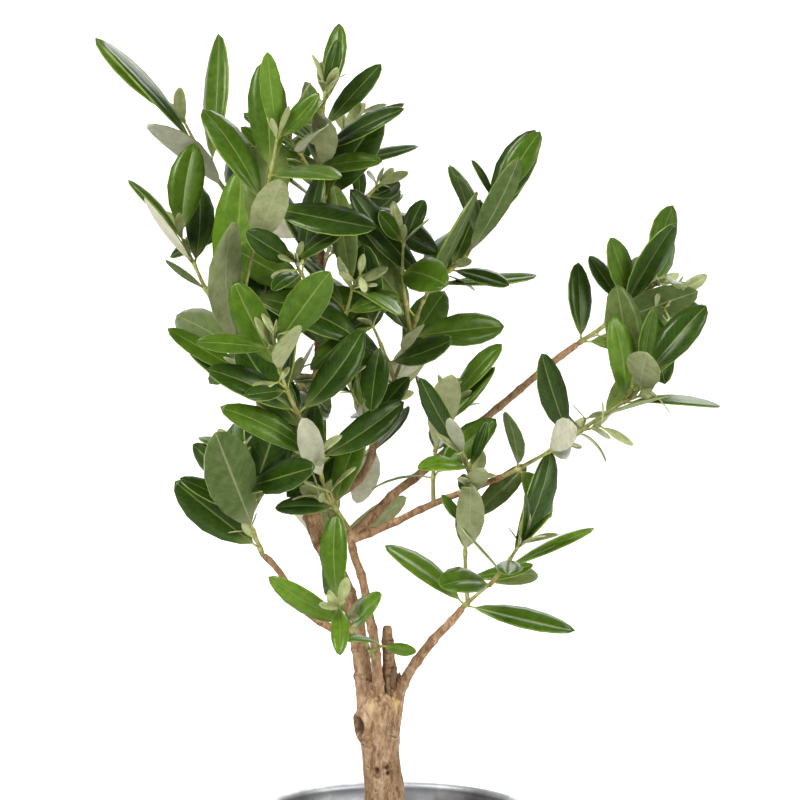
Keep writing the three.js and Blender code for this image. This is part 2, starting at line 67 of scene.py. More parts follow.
def aimAt(thing, place, aim):
    # turns a lamp or camera so that its -Z looks from place to aim
    ahead = np.subtract(aim, place).astype(float)
    ahead /= np.linalg.norm(ahead)
    thing.location = place
    thing.rotation_euler = (np.arccos(-ahead[2]), 0, np.arctan2(ahead[1], ahead[0]) - np.pi / 2)


def makeCamera(row):
    # distance back from the target along the line of sight
    tilt = row["tilt"] * rad
    target = np.array(row["target"]) * mm
    back = np.array([0, -np.cos(tilt), np.sin(tilt)]) * row["distance"] * mm
    data = bpy.data.cameras.new("camera")
    data.sensor_fit = "HORIZONTAL"
    data.sensor_width = row["sensor"]
    data.lens = row["lens"]
    data.clip_end = 50
    camera = bpy.data.objects.new("camera", data)
    bpy.context.scene.collection.objects.link(camera)
    aimAt(camera, target + back, target)
    bpy.context.scene.camera = camera


def makeLamps(rows):
    # a square lamp for each row, turned to its aim
    for name, row in rows.items():
        data = bpy.data.lights.new(name, "AREA")
        data.size = row["side"]
        data.energy = row["power"]
        lamp = bpy.data.objects.new(name, data)
        bpy.context.scene.collection.objects.link(lamp)
        aimAt(lamp, row["place"], row["aim"])


def makeSky(row):
    # one even colour from all round
    world = bpy.data.worlds.new("sky")
    world.use_nodes = True
    sky = world.node_tree.nodes["Background"]
    sky.inputs["Color"].default_value = (*row["colour"], 1)
    sky.inputs["Strength"].default_value = row["strength"]
    bpy.context.scene.world = world
    bpy.context.scene.view_settings.view_transform = "Standard"


hashSteps = (374761393, 668265263, 1274126177, 2246822519)  # for x, y, z and the seed
hashRounds = ((13, 1103515245), (16, 2654435761))  # bits to shift by, then a factor
hashTop = 0xFFFFFFFF


def latticeNoise(points, seed):
    # value noise: a hashed number at each lattice corner, blended smoothly between the eight round a point
    base = np.floor(points).astype(np.int64)
    part = points - base
    part = part * part * (3 - 2 * part)
    total = np.zeros(points.shape[:-1])
    for corner in np.ndindex(2, 2, 2):
        cell = base + np.array(corner)
        mixed = sum(cell[..., axis] * hashSteps[axis] for axis in range(3)) + seed * hashSteps[3]
        for shift, factor in hashRounds:
            mixed = (mixed ^ (mixed >> shift)) * factor & hashTop
        weight = np.prod(np.where(np.array(corner) == 1, part, 1 - part), axis=-1)
        total += weight * (mixed / hashTop)
    return total * 2 - 1


def fractalNoise(points, seed, octaves=3):
    # each octave is twice as fine and half as strong as the last
    return sum(latticeNoise(points * 2**i, seed + i) * 0.5**i for i in range(octaves))


def bell(distance, width):
    # 1 at no distance, falling smoothly to 0 over about twice the width
    return np.exp(-((distance / width) ** 2))


def anglesOf(count):
    # even steps round a full turn
    return np.arange(count) / count * 2 * np.pi


def newStore():
    # what the faces of one mesh are gathered in
    return {"points": [], "faces": [], "slots": [], "tones": [], "count": 0}


def repeatFaces(faces, copies, each):
    # the same faces for each of a number of copies, each of which has the given number of points
    offset = (np.arange(copies) * each)[:, None, None]
    return (faces[None] + offset).reshape(-1, faces.shape[1])


def addFaces(store, points, faceGroups, slots, tones=None):
    # points is (n, 3), each face group is (m, corners), and slots gives a material number for each group
    points = points.reshape(-1, 3)
    store["points"].append(points)
    store["tones"].append(np.zeros(len(points)) if tones is None else tones.reshape(-1))
    for faces, slot in zip(faceGroups, slots):
        store["faces"].append(faces + store["count"])
        store["slots"].append(np.broadcast_to(slot, len(faces)))
    store["count"] += len(points)


def ringFaces(rings, around):
    # quads between neighbouring rings, and a fan of triangles to a pole at each end
    row, col = np.meshgrid(np.arange(rings - 1), np.arange(around), indexing="ij")
    here, beside = row * around + col, row * around + (col + 1) % around
    quads = np.stack([here, here + around, beside + around, beside], axis=-1).reshape(-1, 4)
    spoke = np.arange(around)
    beyond = (spoke + 1) % around
    first, last = rings * around, rings * around + 1
    top = (rings - 1) * around
    lower = np.stack([np.full(around, first), spoke, beyond], axis=-1)
    upper = np.stack([np.full(around, last), top + beyond, top + spoke], axis=-1)
    return quads, np.concatenate([lower, upper])


def addTube(store, rings, slot, tones=None):
    # a closed tube: rings is (rings, around, 3), and each end is closed at the middle of its last ring
    count, around = rings.shape[:2]
    poles = np.stack([rings[0].mean(axis=0), rings[-1].mean(axis=0)])
    points = np.concatenate([rings.reshape(-1, 3), poles])
    quads, fans = ringFaces(count, around)
    if tones is not None:
        tones = np.concatenate([tones.reshape(-1), [tones[0].mean(), tones[-1].mean()]])
    addFaces(store, points, [quads, fans], [slot, slot], tones)


def makeObject(name, store, materials):
    # one mesh from all that the store holds, in metres, with its tones as an attribute
    points = np.concatenate(store["points"]) * mm
    mesh = bpy.data.meshes.new(name)
    mesh.vertices.add(len(points))
    mesh.vertices.foreach_set("co", points.astype(np.float32).ravel())
    corners = np.concatenate([faces.ravel() for faces in store["faces"]])
    sizes = np.concatenate([np.full(len(faces), faces.shape[1]) for faces in store["faces"]])
    mesh.loops.add(len(corners))
    mesh.loops.foreach_set("vertex_index", corners.astype(np.int32))
    mesh.polygons.add(len(sizes))
    mesh.polygons.foreach_set("loop_start", (np.cumsum(sizes) - sizes).astype(np.int32))
    mesh.polygons.foreach_set("material_index", np.concatenate(store["slots"]).astype(np.int32))
    mesh.polygons.foreach_set("use_smooth", np.full(len(sizes), True))
    for material in materials:
        mesh.materials.append(material)
    mesh.update(calc_edges=True)
    tone = mesh.attributes.new("tone", "FLOAT", "POINT")
    tone.data.foreach_set("value", np.concatenate(store["tones"]).astype(np.float32))
    piece = bpy.data.objects.new(name, mesh)
    bpy.context.scene.collection.objects.link(piece)
    return piece


def sharpenRims(piece, onRim):
    # an edge is sharp where both of its ends lie on a rim
    mesh = piece.data
    ends = np.zeros(len(mesh.edges) * 2, np.int32)
    mesh.edges.foreach_get("vertices", ends)
    sharp = onRim[ends.reshape(-1, 2)].all(axis=1)
    mesh.attributes.new("sharp_edge", "BOOLEAN", "EDGE").data.foreach_set("value", sharp)


mottleRoughness = 0.6
fineDetail = 3  # octaves of the bump's noise
patchDetail = 4


def overlay(mask, span, strength, colour, **more):
    # a layer of colour where its mask goes from the first to the second value of the span
    return {"mask": mask, "range": span, "strength": strength, "colour": colour, **more}


def addNode(nodes, kind, **values):
    # a shader node, with constants set on the sockets of those names
    node = nodes.new("ShaderNode" + kind)
    for name, value in values.items():
        node.inputs[name].default_value = value
    return node


def makeMaterial(row):
    # noise on the object's own coordinates picks the colour between the row's tones, and finer noise is bump
    material = bpy.data.materials.new(row["name"])
    material.use_nodes = True
    nodes, links = material.node_tree.nodes, material.node_tree.links
    shader = nodes["Principled BSDF"]
    shader.inputs["Roughness"].default_value = row["roughness"]
    shader.inputs["Metallic"].default_value = row.get("metallic", 0)
    shader.inputs["Specular IOR Level"].default_value = row["specular"]
    shader.inputs["Specular Tint"].default_value = (*row.get("glossTint", (1, 1, 1)), 1)
    place = addNode(nodes, "TexCoord")
    stretch = addNode(nodes, "Mapping", Scale=row.get("stretch", (1, 1, 1)))
    links.new(place.outputs["Object"], stretch.inputs["Vector"])
    detail = row.get("mottleDetail", patchDetail)
    mottle = addNode(nodes, "TexNoise", Scale=row["mottleScale"], Detail=detail, Roughness=mottleRoughness)
    links.new(stretch.outputs["Vector"], mottle.inputs["Vector"])
    ramp = addNode(nodes, "ValToRGB")
    stops = ramp.color_ramp.elements
    for i, (position, colour) in enumerate(row["tones"]):
        stop = stops[i] if i < 2 else stops.new(position)
        stop.position = position
        stop.color = (*colour, 1)
    links.new(mottle.outputs["Fac"], ramp.inputs["Fac"])
    colour = ramp.outputs["Color"]
    for layer in row.get("layers", []):
        colour = addLayer(nodes, links, place, stretch, colour, layer)
    links.new(colour, shader.inputs["Base Color"])
    grain = addNode(nodes, "TexNoise", Scale=row["grainScale"], Detail=fineDetail)
    links.new(stretch.outputs["Vector"], grain.inputs["Vector"])
    bump = addNode(nodes, "Bump", Strength=row["bump"], Distance=row["bumpDepth"] * mm)
    links.new(grain.outputs["Fac"], bump.inputs["Height"])
    links.new(bump.outputs["Normal"], shader.inputs["Normal"])
    return material


def addMath(nodes, links, operation, first, second=None):
    # one step of arithmetic on a socket, with a second socket or a number
    step = addNode(nodes, "Math")
    step.operation = operation
    links.new(first, step.inputs[0])
    if isinstance(second, (int, float)):
        step.inputs[1].default_value = second
    elif second is not None:
        links.new(second, step.inputs[1])
    return step.outputs["Value"]


def addMask(nodes, links, place, stretch, layer):
    # what a layer follows: the tone attribute, the height, scattered cells, or a place on a leaf's blade
    kind = layer["mask"]
    if kind == "tone":
        mask = addNode(nodes, "Attribute")
        mask.attribute_name = "tone"
        return mask.outputs["Fac"]
    if kind == "patches":
        mask = addNode(nodes, "TexNoise", Scale=layer["scale"], Detail=patchDetail)
        links.new(stretch.outputs["Vector"], mask.inputs["Vector"])
        return mask.outputs["Fac"]
    split = addNode(nodes, "SeparateXYZ")
    if kind in ("cells", "spangle"):
        mask = addNode(nodes, "TexVoronoi", Scale=layer["scale"])
        links.new(stretch.outputs["Vector"], mask.inputs["Vector"])
        if kind == "cells":
            return mask.outputs["Distance"]
        links.new(mask.outputs["Color"], split.inputs["Vector"])  # one shade for each whole cell
        return split.outputs["X"]
    if kind == "height":
        links.new(place.outputs["Object"], split.inputs["Vector"])
        return split.outputs["Z"]
    blade = addNode(nodes, "Attribute")
    blade.attribute_name = "blade"
    links.new(blade.outputs["Vector"], split.inputs["Vector"])
    across = addMath(nodes, links, "ABSOLUTE", split.outputs["X"])
    if kind == "rib":
        return across
    if kind == "leaf":
        return split.outputs["Z"]
    if kind == "foot":
        return split.outputs["Y"]
    # side veins run forward from the rib: the length along, less a share of the way across, folded evenly
    slant = addMath(nodes, links, "MULTIPLY", across, layer["slant"])
    phase = addMath(nodes, links, "SUBTRACT", split.outputs["Y"], slant)
    return addMath(nodes, links, "PINGPONG", phase, layer["gap"])


def addLayer(nodes, links, place, stretch, under, layer):
    # a colour laid over the others where the layer's mask is in its range
    value = addMask(nodes, links, place, stretch, layer)
    level = addNode(nodes, "MapRange")
    level.interpolation_type = "SMOOTHSTEP"
    level.inputs["From Min"].default_value, level.inputs["From Max"].default_value = layer["range"]
    level.inputs["To Max"].default_value = layer["strength"]
    links.new(value, level.inputs["Value"])
    mix = addNode(nodes, "Mix")
    mix.data_type = "RGBA"
    mix.blend_type = layer.get("blend", "MIX")
    mix.inputs["B"].default_value = (*layer["colour"], 1)
    links.new(level.outputs["Result"], mix.inputs["Factor"])
    links.new(under, mix.inputs["A"])
    return mix.outputs["Result"]


potHeight = 131
soilDepth = 10
trunkRow = {
    "start": (-6.4, 0, potHeight - soilDepth),
    "length": 77,
    "lean": (7, -8, 1, 6),
    "forward": (0, 0),
    "radius": (9.9, 9.9, 12.3),
    "flare": 2.6,
}


def bough(parent, at, length, radius, lean, forward, **more):
    # a limb that grows from another one, at a share of that one's length. Its lean is in degrees from upright
    # to the right and its forward in degrees towards the front, both at even steps along it, and its radius
    # is at root and tip. Its aside is how far its root stands from the trunk's axis, to the right and front
    place = {"from": parent, "at": at, "length": length, "radius": radius}
    return {**place, "lean": lean, "forward": forward, **more}


def shoot(parent, at, length, lean, forward, leaf, seeds, **more):
    # a leafy twig on a limb, by its name, or on an earlier shoot of the same mass, by its number. Each seed
    # gives a pair of leaves that stands a quarter turn from the last, leaf is their length at the foot and
    # first the share where the first pair stands. An open shoot's leaves stand out to its end, where
    # another shoot carries on
    origin = "from" if isinstance(parent, str) else "on"
    return {
        origin: parent, "at": at, "length": length, "lean": lean, "forward": forward,
        "leaf": leaf, "seeds": seeds, **more,
    }


boughs = {
    "leader": bough("trunk", 0.85, 117, (4.6, 4.3), (-7, -9, -30, -9), (-2, -1), aside=(-7.6, -1.5)),
    "frontBough": bough("trunk", 0.89, 95, (2.8, 2.0), (-1, -8, -14, -12), (6, 8), aside=(-1.2, 4.5)),
    "stub": bough("trunk", 0.86, 42, (4.3, 2.6), (2, -3, -1), (5, 2), aside=(4.4, 0.5)),
    "lowRightBough": bough("trunk", 0.86, 69, (3.2, 1.9), (14, 30, 43, 36), (16, 18), aside=(8.4, 2)),
    "leftLowBough": bough("leader", 0.29, 72, (2.1, 1.6), (-65, -59, -23, -50), (3, 12)),
    "bigRightBough": bough("frontBough", 0.95, 163, (2.4, 1.8), (45, 51, 51, 54), (-15, -14)),
    "midRightBough": bough("frontBough", 0.94, 90, (2.1, 1.5), (73, 60, 68, 67), (7, 20)),
    "upperLeader": bough("leader", 0.98, 142, (2.2, 1.7), (9, 1, 2, 2), (-6, -2)),
    "innerBough": bough("leader", 0.97, 70, (2.4, 1.9), (89, 54, 11, 24), (-11, -20)),
    "leftBough": bough("leader", 0.98, 71, (2.1, 1.6), (-44, -21, -10), (12, 9)),
    "backBough": bough("upperLeader", 0.66, 49, (1.7, 1.3), (-58, -41, -29), (-25, -30)),
    "sideBough": bough("upperLeader", 0.96, 23, (2.0, 1.6), (38, 53), (-27, -21)),
}

foliage = {
    "lowFront": [
        shoot("trunk", 1, 76, (-10, -37, -15), (28, 59), 40, (1490, 8169), first=0.7),
        shoot(0, 0.33, 22, (46, 57), (92, 38), 21, (6057,)),
    ],
    "lowLeft": [
        shoot("leftLowBough", 1, 24, (-19, -22), (2, 15), 54, (5998, 3928, 3203), first=0.15, open=True),
        shoot(0, 1, 30, (-2, -8, -11), (19, 18), 38, (7534, 3746)),
        shoot(0, 0.88, 31, (33, 19), (-28, -33), 34, (9536, 4844)),
    ],
    "upperLeft": [
        shoot("leftBough", 1, 40, (-26, -26), (-8, -4), 56, (2156, 5673, 9206), first=0.04, open=True),
        shoot(0, 1, 48, (-37, -24, -27), (-13, -11), 40, (3243, 5034, 3372)),
        shoot(0, 0.53, 58, (6, 11, 16), (19, 17), 46, (3184, 8103), open=True),
        shoot(2, 1, 58, (12, 14, 9), (12, 12), 44, (266, 7822, 3718)),
    ],
    "topLeft": [
        shoot("backBough", 1, 46, (-35, -24), (-4, -5), 50, (5248, 1364), open=True),
        shoot(0, 1, 42, (-35, -26), (-1, -3), 60, (7370, 7681, 4141)),
    ],
    "topCentre": [
        shoot("upperLeader", 1, 45, (0, 1), (5, 8), 44, (4678, 3650, 4599), open=True),
        shoot(0, 1, 32, (-1, 8), (12, 14), 44, (4638, 6356, 6879)),
        shoot(0, 0.54, 37, (23, 22, 14), (-30, -29), 42, (7751, 2523, 2408)),
        shoot(0, 0.51, 37, (-28, -30, -34), (28, 32), 40, (2694, 2726, 542)),
    ],
    "topRight": [
        shoot("sideBough", 1, 26, (42, 40), (-29, -35), 38, (3899, 8194, 1362)),
    ],
    "centreRight": [
        shoot("innerBough", 1, 44, (18, 20, 20), (7, 0), 42, (2215, 3607, 894), open=True),
        shoot(0, 1, 30, (16, 27), (4, -2), 54, (6633, 3928, 502), open=True),
        shoot(1, 1, 36, (57, 51, 13), (3, 3), 46, (9497, 4214, 7261), open=True),
        shoot(2, 1, 21, (42, 21), (9, 15), 40, (4021, 1206, 8175), first=0.25),
        shoot(0, 1, 54, (-12, -6, 7), (19, 17), 46, (2630, 4230, 4094)),
        shoot(0, 0.41, 39, (-18, -24), (31, 35), 42, (2551, 9772, 9519)),
    ],
    "farRight": [
        shoot("bigRightBough", 1, 29, (55, 58), (-6, -5), 42, (1296, 1186, 7590), first=0.06, open=True),
        shoot(0, 1, 24, (43, 52), (-10, -8), 46, (5245, 6183, 9896)),
        shoot(0, 0.98, 34, (70, 59), (25, 25), 46, (199, 8329)),
        shoot(0, 0.71, 35, (40, 3), (-38, -42), 34, (5245, 8676)),
    ],
    "midRight": [
        shoot("midRightBough", 1, 41, (64, 55), (-4, 16), 40, (806, 2212, 2332), first=0.2, open=True),
        shoot(0, 1, 33, (52, 59), (4, 9), 38, (6243, 4375, 9229), first=0.15, open=True),
        shoot(1, 1, 16, (56, 20), (12, 14), 42, (203, 1395, 6957), first=0.3),
    ],
    "midSide": [
        shoot("midRightBough", 0.54, 28, (-4, 8), (-12, -14), 32, (952, 2983), open=True),
        shoot(0, 1, 26, (13, 20), (-21, -24), 38, (4408, 533)),
    ],
    "midFront": [
        shoot("midRightBough", 0.81, 24, (-14, -27), (32, 33), 40, (4268, 9943)),
    ],
    "lowRight": [
        shoot("lowRightBough", 1, 21, (46, 48), (17, 34), 54, (6984, 704), first=0.06, open=True),
        shoot(0, 1, 29, (37, 30), (23, 29), 46, (3202, 4888, 5286)),
        shoot(0, 0.15, 57, (-6, 0, 3), (6, 8), 34, (2265, 1878, 5441, 9012)),
    ],
    "frontLeft": [
        shoot("frontBough", 1, 32, (-30, -34, -11), (16, 14), 34, (471, 8060), first=0.4, open=True),
        shoot(0, 1, 40, (-8, -23, -22), (20, 18), 44, (6742, 3693, 4510), open=True),
        shoot(1, 1, 40, (-27, -18, -12), (24, 26), 42, (6584, 3086, 1034)),
    ],
    "innerLeft": [
        shoot("leftBough", 0.63, 32, (20, 30), (-25, -34), 42, (2888, 1925, 492)),
    ],
    "innerRight": [
        shoot("innerBough", 0.7, 44, (-11, -26), (41, 40), 44, (9321, 2517, 8644)),
    ],
    "innerTop": [
        shoot("upperLeader", 0.48, 25, (31, 28), (19, 30), 44, (1968, 5392), open=True),
        shoot(0, 1, 30, (24, 10), (26, 32), 44, (4577, 2670)),
    ],
    "innerFront": [
        shoot("upperLeader", 0.75, 43, (-36, -21), (54, 57), 42, (8247, 9149, 3179)),
    ],
    "rearLeft": [
        shoot("upperLeader", 0.37, 89, (-55, -44, -34), (-63, -62), 44, (5576, 4883, 3397, 2544, 2865)),
    ],
    "rearRight": [
        shoot("innerBough", 0.52, 86, (26, 2, 20), (-70, -65), 44, (2561, 4576, 6340, 9060, 8917)),
    ],
    "rearTop": [
        shoot("upperLeader", 0.82, 77, (11, 14, 10), (-67, -68), 44, (6229, 5136, 5397, 1364, 8404)),
    ],
    "rearLow": [
        shoot("leader", 0.68, 81, (20, -21, -9), (-69, -65), 42, (3341, 2499, 8188, 3708)),
    ],
}

stepsAlong = 12  # of a path, when leaves are grown on it
stepsSmooth = 96  # and when a limb's skin is made
# the rule that grows leaves: the solids of the object are grown by the same one. Angles are in degrees, sizes
# are shares, and a jitter is the most that a seed's random numbers add or take off
growth = {
    "placeJitter": 0.05,
    "turnJitter": 40,
    "spreadLow": 60,
    "spreadHigh": 32,
    "spreadJitter": 28,
    "openAge": 0.4,
    "youngSize": 0.9,
    "sizeJitter": 0.38,
    "widthShare": 0.31,
    "widthJitter": 0.24,
    "lift": 1,
    "rollJitter": 50,
    "bendMean": 12,
    "bendJitter": 30,
    "ends": (0.06, 0.985),  # no pair stands nearer an end of its shoot than these shares
    "tipPower": 1.15,  # the higher, the nearer its tip a leaf is widest
    "fullness": 0.75,
}
lightFrom = np.array([0, -0.82, 0.57])  # leaves turn their upper sides this way
twigRadius = (1.1, 0.8)
clearance = {"otherMass": 3.4, "sameMass": 2.6, "limb": 1, "reach": 80}  # least gaps, and most reach
leafStalk = 0.09  # share of a leaf's length
testShares = (np.arange(10) + 0.5) / 10
testAcross = np.array([-1, -0.5, 0, 0.5, 1])
rootSteps = 2  # of those shares, the ones nearest the root may touch the leaf's own mass and limb
axisSamples = 40
randomRow = {"spread": 2654435761, "factor": 1664525, "plus": 1013904223, "turnOver": 2**32, "skipped": 2}


def makeRandom(seed):
    # a row of random numbers from 0 to 1: each state is the last times a constant plus another
    row = randomRow
    state = (seed * row["spread"]) % row["turnOver"]
    drawn = 0
    while True:
        state = (state * row["factor"] + row["plus"]) % row["turnOver"]
        drawn += 1
        if drawn > row["skipped"]:
            yield state / row["turnOver"]


def valueAt(values, share):
    # value of a row of even steps at a share of its length
    return np.interp(share, np.linspace(0, 1, len(values)), values)


def makePath(start, row, steps=stepsAlong):
    # a path whose heading turns evenly from one lean and forward to the next
    share = (np.arange(steps) + 0.5) / steps
    lean = valueAt(row["lean"], share) * rad
    forward = valueAt(row["forward"], share) * rad
    level = np.cos(forward)
    heading = np.stack([np.sin(lean) * level, -np.sin(forward), np.cos(lean) * level], axis=-1)
    return np.concatenate([[start], start + np.cumsum(heading * row["length"] / steps, axis=0)])


def pointAt(points, share):
    # point of a path at one share of its length, or at many
    place = np.asarray(share, float) * (len(points) - 1)
    low = np.minimum(place.astype(int), len(points) - 2)
    part = (place - low)[..., None]
    return points[low] * (1 - part) + points[low + 1] * part


def directionAt(points, share):
    # heading of the step of a path that holds a share of its length
    low = min(int(share * (len(points) - 1)), len(points) - 2)
    return unit(points[low + 1] - points[low])


def unit(vectors):
    # each vector over its own length
    return vectors / np.linalg.norm(vectors, axis=-1, keepdims=True)


def sidesOf(direction):
    # the two directions square to a path: to the right, and towards the front
    across = unit(np.cross([0, 1, 0], direction))
    return across, np.cross(across, direction)


def bladeShare(share):
    # share of the blade's length: 0 along the stalk and 1 at the tip
    return np.clip((share - leafStalk) / (1 - leafStalk), 0, 1)


def outlineAt(share):
    # half width of a leaf: 0 along its stalk and at its tip, and 1 at its widest
    return np.sin(np.pi * bladeShare(share) ** growth["tipPower"]) ** growth["fullness"]


def midribAt(leaf, share):
    # the midrib bends evenly away from the upper side, as an arc of a circle
    turned = leaf["bend"] * share
    out = np.sin(turned) / leaf["bend"]
    down = (1 - np.cos(turned)) / leaf["bend"]
    return leaf["root"] + leaf["length"] * (out[..., None] * leaf["out"] - down[..., None] * leaf["upper"])


def spreadOut(heading, sideways, spread):
    # directions of a leaf that leans away from its shoot: along it, and out of its upper side
    out = heading * np.cos(spread) + sideways * np.sin(spread)
    return out, heading * np.sin(spread) - sideways * np.cos(spread)


def growLeaves(points, row):
    # the leaves that the seeded rule gives a shoot, before any is skipped
    leaves = []
    pairs = len(row["seeds"])
    for pair, seed in enumerate(row["seeds"]):
        draw = makeRandom(seed)
        step = pair / max(pairs - 1, 1)
        age = step * (growth["openAge"] if row.get("open") else 1)
        first = row.get("first", 1 / pairs)
        share = first + (1 - first) * step + (next(draw) - 0.5) * 2 * growth["placeJitter"]
        share = min(max(share, growth["ends"][0]), growth["ends"][1])
        heading = directionAt(points, share)
        across, toward = sidesOf(heading)
        turn = (90 * pair + (next(draw) - 0.5) * 2 * growth["turnJitter"]) * rad
        sideways = across * np.cos(turn) + toward * np.sin(turn)
        for sign in (1, -1):
            spreadBy, sizeBy, widthBy, rollBy, bendBy = [2 * (next(draw) - 0.5) for i in range(5)]
            spread = growth["spreadLow"] + (growth["spreadHigh"] - growth["spreadLow"]) * age
            spread = (spread + spreadBy * growth["spreadJitter"]) * rad
            young = 1 + (growth["youngSize"] - 1) * age**2
            length = row["leaf"] * young * (1 + sizeBy * growth["sizeJitter"])
            out, upper = spreadOut(heading, sideways * sign, spread)
            upper = upper + lightFrom * growth["lift"]
            upper = unit(upper - out * (upper @ out))
            roll = rollBy * growth["rollJitter"] * rad
            upper = upper * np.cos(roll) + np.cross(out, upper) * np.sin(roll)
            bend = (growth["bendMean"] + bendBy * growth["bendJitter"]) * rad
            leaves.append({
                "root": pointAt(points, share),
                "heading": heading,
                "out": out,
                "upper": upper,
                "edge": np.cross(out, upper),
                "length": length,
                "width": length * growth["widthShare"] * (1 + widthBy * growth["widthJitter"]),
                "bend": bend,
            })
    return leaves


def leafPoints(leaf):
    # points all over a leaf, in steps from its root
    middle = midribAt(leaf, testShares)
    half = 0.5 * leaf["width"] * outlineAt(testShares)
    side = (half[:, None] * testAcross)[..., None] * leaf["edge"]
    return (middle[:, None] + side).reshape(-1, 3)


def anyNearer(points, others, distance):
    # distance is one number, or one for each of the others
    centre = points.mean(axis=0)
    reach = np.linalg.norm(points - centre, axis=1).max() + np.max(distance)
    close = np.linalg.norm(others - centre, axis=1) < reach
    apart = np.linalg.norm(points[:, None] - others[close][None], axis=-1)
    return bool((apart < np.broadcast_to(distance, len(others))[close]).any())


def axisPoints(points, radius):
    # points along a limb's axis, each with the radius there
    share = np.linspace(0, 1, axisSamples)
    return np.concatenate([pointAt(points, share), valueAt(radius, share)[:, None]], axis=1)


def axesOf(limbs):
    # the axis points of all the limbs
    return np.concatenate([axisPoints(limb["points"], limb["row"]["radius"]) for limb in limbs.values()])


def growTree():
    # the paths of all limbs and shoots, and each shoot's leaves that stand clear of what grew before
    limbs = {"trunk": {"row": trunkRow, "points": makePath(np.array(trunkRow["start"], float), trunkRow)}}
    for name, row in boughs.items():
        right, front = row.get("aside", (0, 0))
        start = pointAt(limbs[row["from"]]["points"], row["at"]) + [right, -front, 0]
        limbs[name] = {"row": row, "points": makePath(start, row), "start": start}
    limbAxes = axesOf(limbs)
    masses = {}
    for name, rows in foliage.items():
        shoots = []
        for row in rows:
            parent = limbs[row["from"]] if "from" in row else shoots[row["on"]]
            start = pointAt(parent["points"], row["at"])
            shoots.append({"row": row, "points": makePath(start, row), "start": start, "leaves": []})
        axes = np.concatenate([axisPoints(shoot["points"], twigRadius) for shoot in shoots])
        masses[name] = {"shoots": shoots, "axes": axes, "grown": axes[:, :3], "blades": np.zeros((0, 3))}
    for mass in masses.values():
        others = np.concatenate([other["grown"] for other in masses.values() if other is not mass])
        for shoot in mass["shoots"]:
            for leaf in growLeaves(shoot["points"], shoot["row"]):
                whole = leafPoints(leaf)
                blade = whole[rootSteps * len(testAcross):]
                if not isClear(leaf, whole, blade, mass, others, limbAxes):
                    continue
                shoot["leaves"].append(leaf)
                mass["grown"] = np.concatenate([mass["grown"], whole])
                mass["blades"] = np.concatenate([mass["blades"], blade])
    return limbs, masses


def isClear(leaf, whole, blade, mass, others, limbAxes):
    # within reach of its own shoots, and clear of other masses, of its own mass's leaves and of every limb
    tip = midribAt(leaf, np.array([1.0]))
    ownAxes = mass["axes"]
    return (
        anyNearer(tip, ownAxes[:, :3], clearance["reach"])
        and not anyNearer(whole, others, clearance["otherMass"])
        and not anyNearer(blade, mass["blades"], clearance["sameMass"])
        and not anyNearer(blade, ownAxes[:, :3], ownAxes[:, 3] + clearance["limb"])
        and not anyNearer(blade, limbAxes[:, :3], limbAxes[:, 3] + clearance["limb"])
    )


# which pattern of noise each relief, stain or darkening has; a bough adds its own number
noiseSeeds = {
    "groove": 11, "grain": 23, "stain": 47, "waver": 5, "boughGroove": 31, "boughGrain": 61,
    "dead": 91, "snag": 80, "innerDarkening": 71, "soil": 41,
}

oliveBark = {
    "name": "oliveBark",
    "roughness": 0.8,
    "specular": 0.2,
    "stretch": (1, 1, 0.42),
    "mottleScale": 360,
    "mottleDetail": 9,
    "tones": [
        (0.28, (0.155, 0.080, 0.036)),
        (0.43, (0.30, 0.180, 0.094)),
        (0.55, (0.43, 0.290, 0.172)),
        (0.72, (0.60, 0.46, 0.32)),
    ],
    "layers": [
        # above the fork the bark is redder and darker
        overlay("height", (0.19, 0.24), 0.8, (0.84, 0.75, 0.66), blend="MULTIPLY"),
        overlay("patches", (0.50, 0.62), 0.5, (0.27, 0.155, 0.08), scale=55),
        overlay("patches", (0.57, 0.64), 0.7, (0.16, 0.083, 0.04), scale=240),
        overlay("cells", (0.20, 0.10), 0.75, (0.11, 0.055, 0.025), scale=430),
        overlay("cells", (0.18, 0.08), 0.6, (0.70, 0.56, 0.40), scale=760),
        # where the tone is high the bark goes near black: real scars, stains and dead wood, and painted shade
        # in the fork's valleys, the crevices between limbs, grooves, the knot's hollow, holes and creases
        overlay("tone", (0.12, 0.95), 0.95, (0.070, 0.034, 0.018)),
        # where the tone is below zero the bark goes pale golden: the pale patches near the fork and the paler
        # ring on the knot's lip
        overlay("tone", (-0.05, -0.8), 0.85, (0.62, 0.42, 0.15)),
    ],
    "grainScale": 950,
    "bump": 0.7,
    "bumpDepth": 0.4,
}
barkTwig = {
    "name": "twigBark",
    "roughness": 0.62,
    "specular": 0.25,
    "stretch": (1, 1, 0.6),
    "mottleScale": 260,
    "tones": [
        (0.32, (0.17, 0.18, 0.045)),
        (0.52, (0.30, 0.305, 0.09)),
        (0.70, (0.44, 0.42, 0.18)),
    ],
    "layers": [
        overlay("tone", (0.1, 0.9), 0.85, (0.22, 0.115, 0.05)),
        overlay("tone", (-0.1, -0.8), 0.7, (0.44, 0.45, 0.07)),
        overlay("cells", (0.13, 0.06), 0.5, (0.20, 0.12, 0.05), scale=700),
    ],
    "grainScale": 1200,
    "bump": 0.3,
    "bumpDepth": 0.15,
}

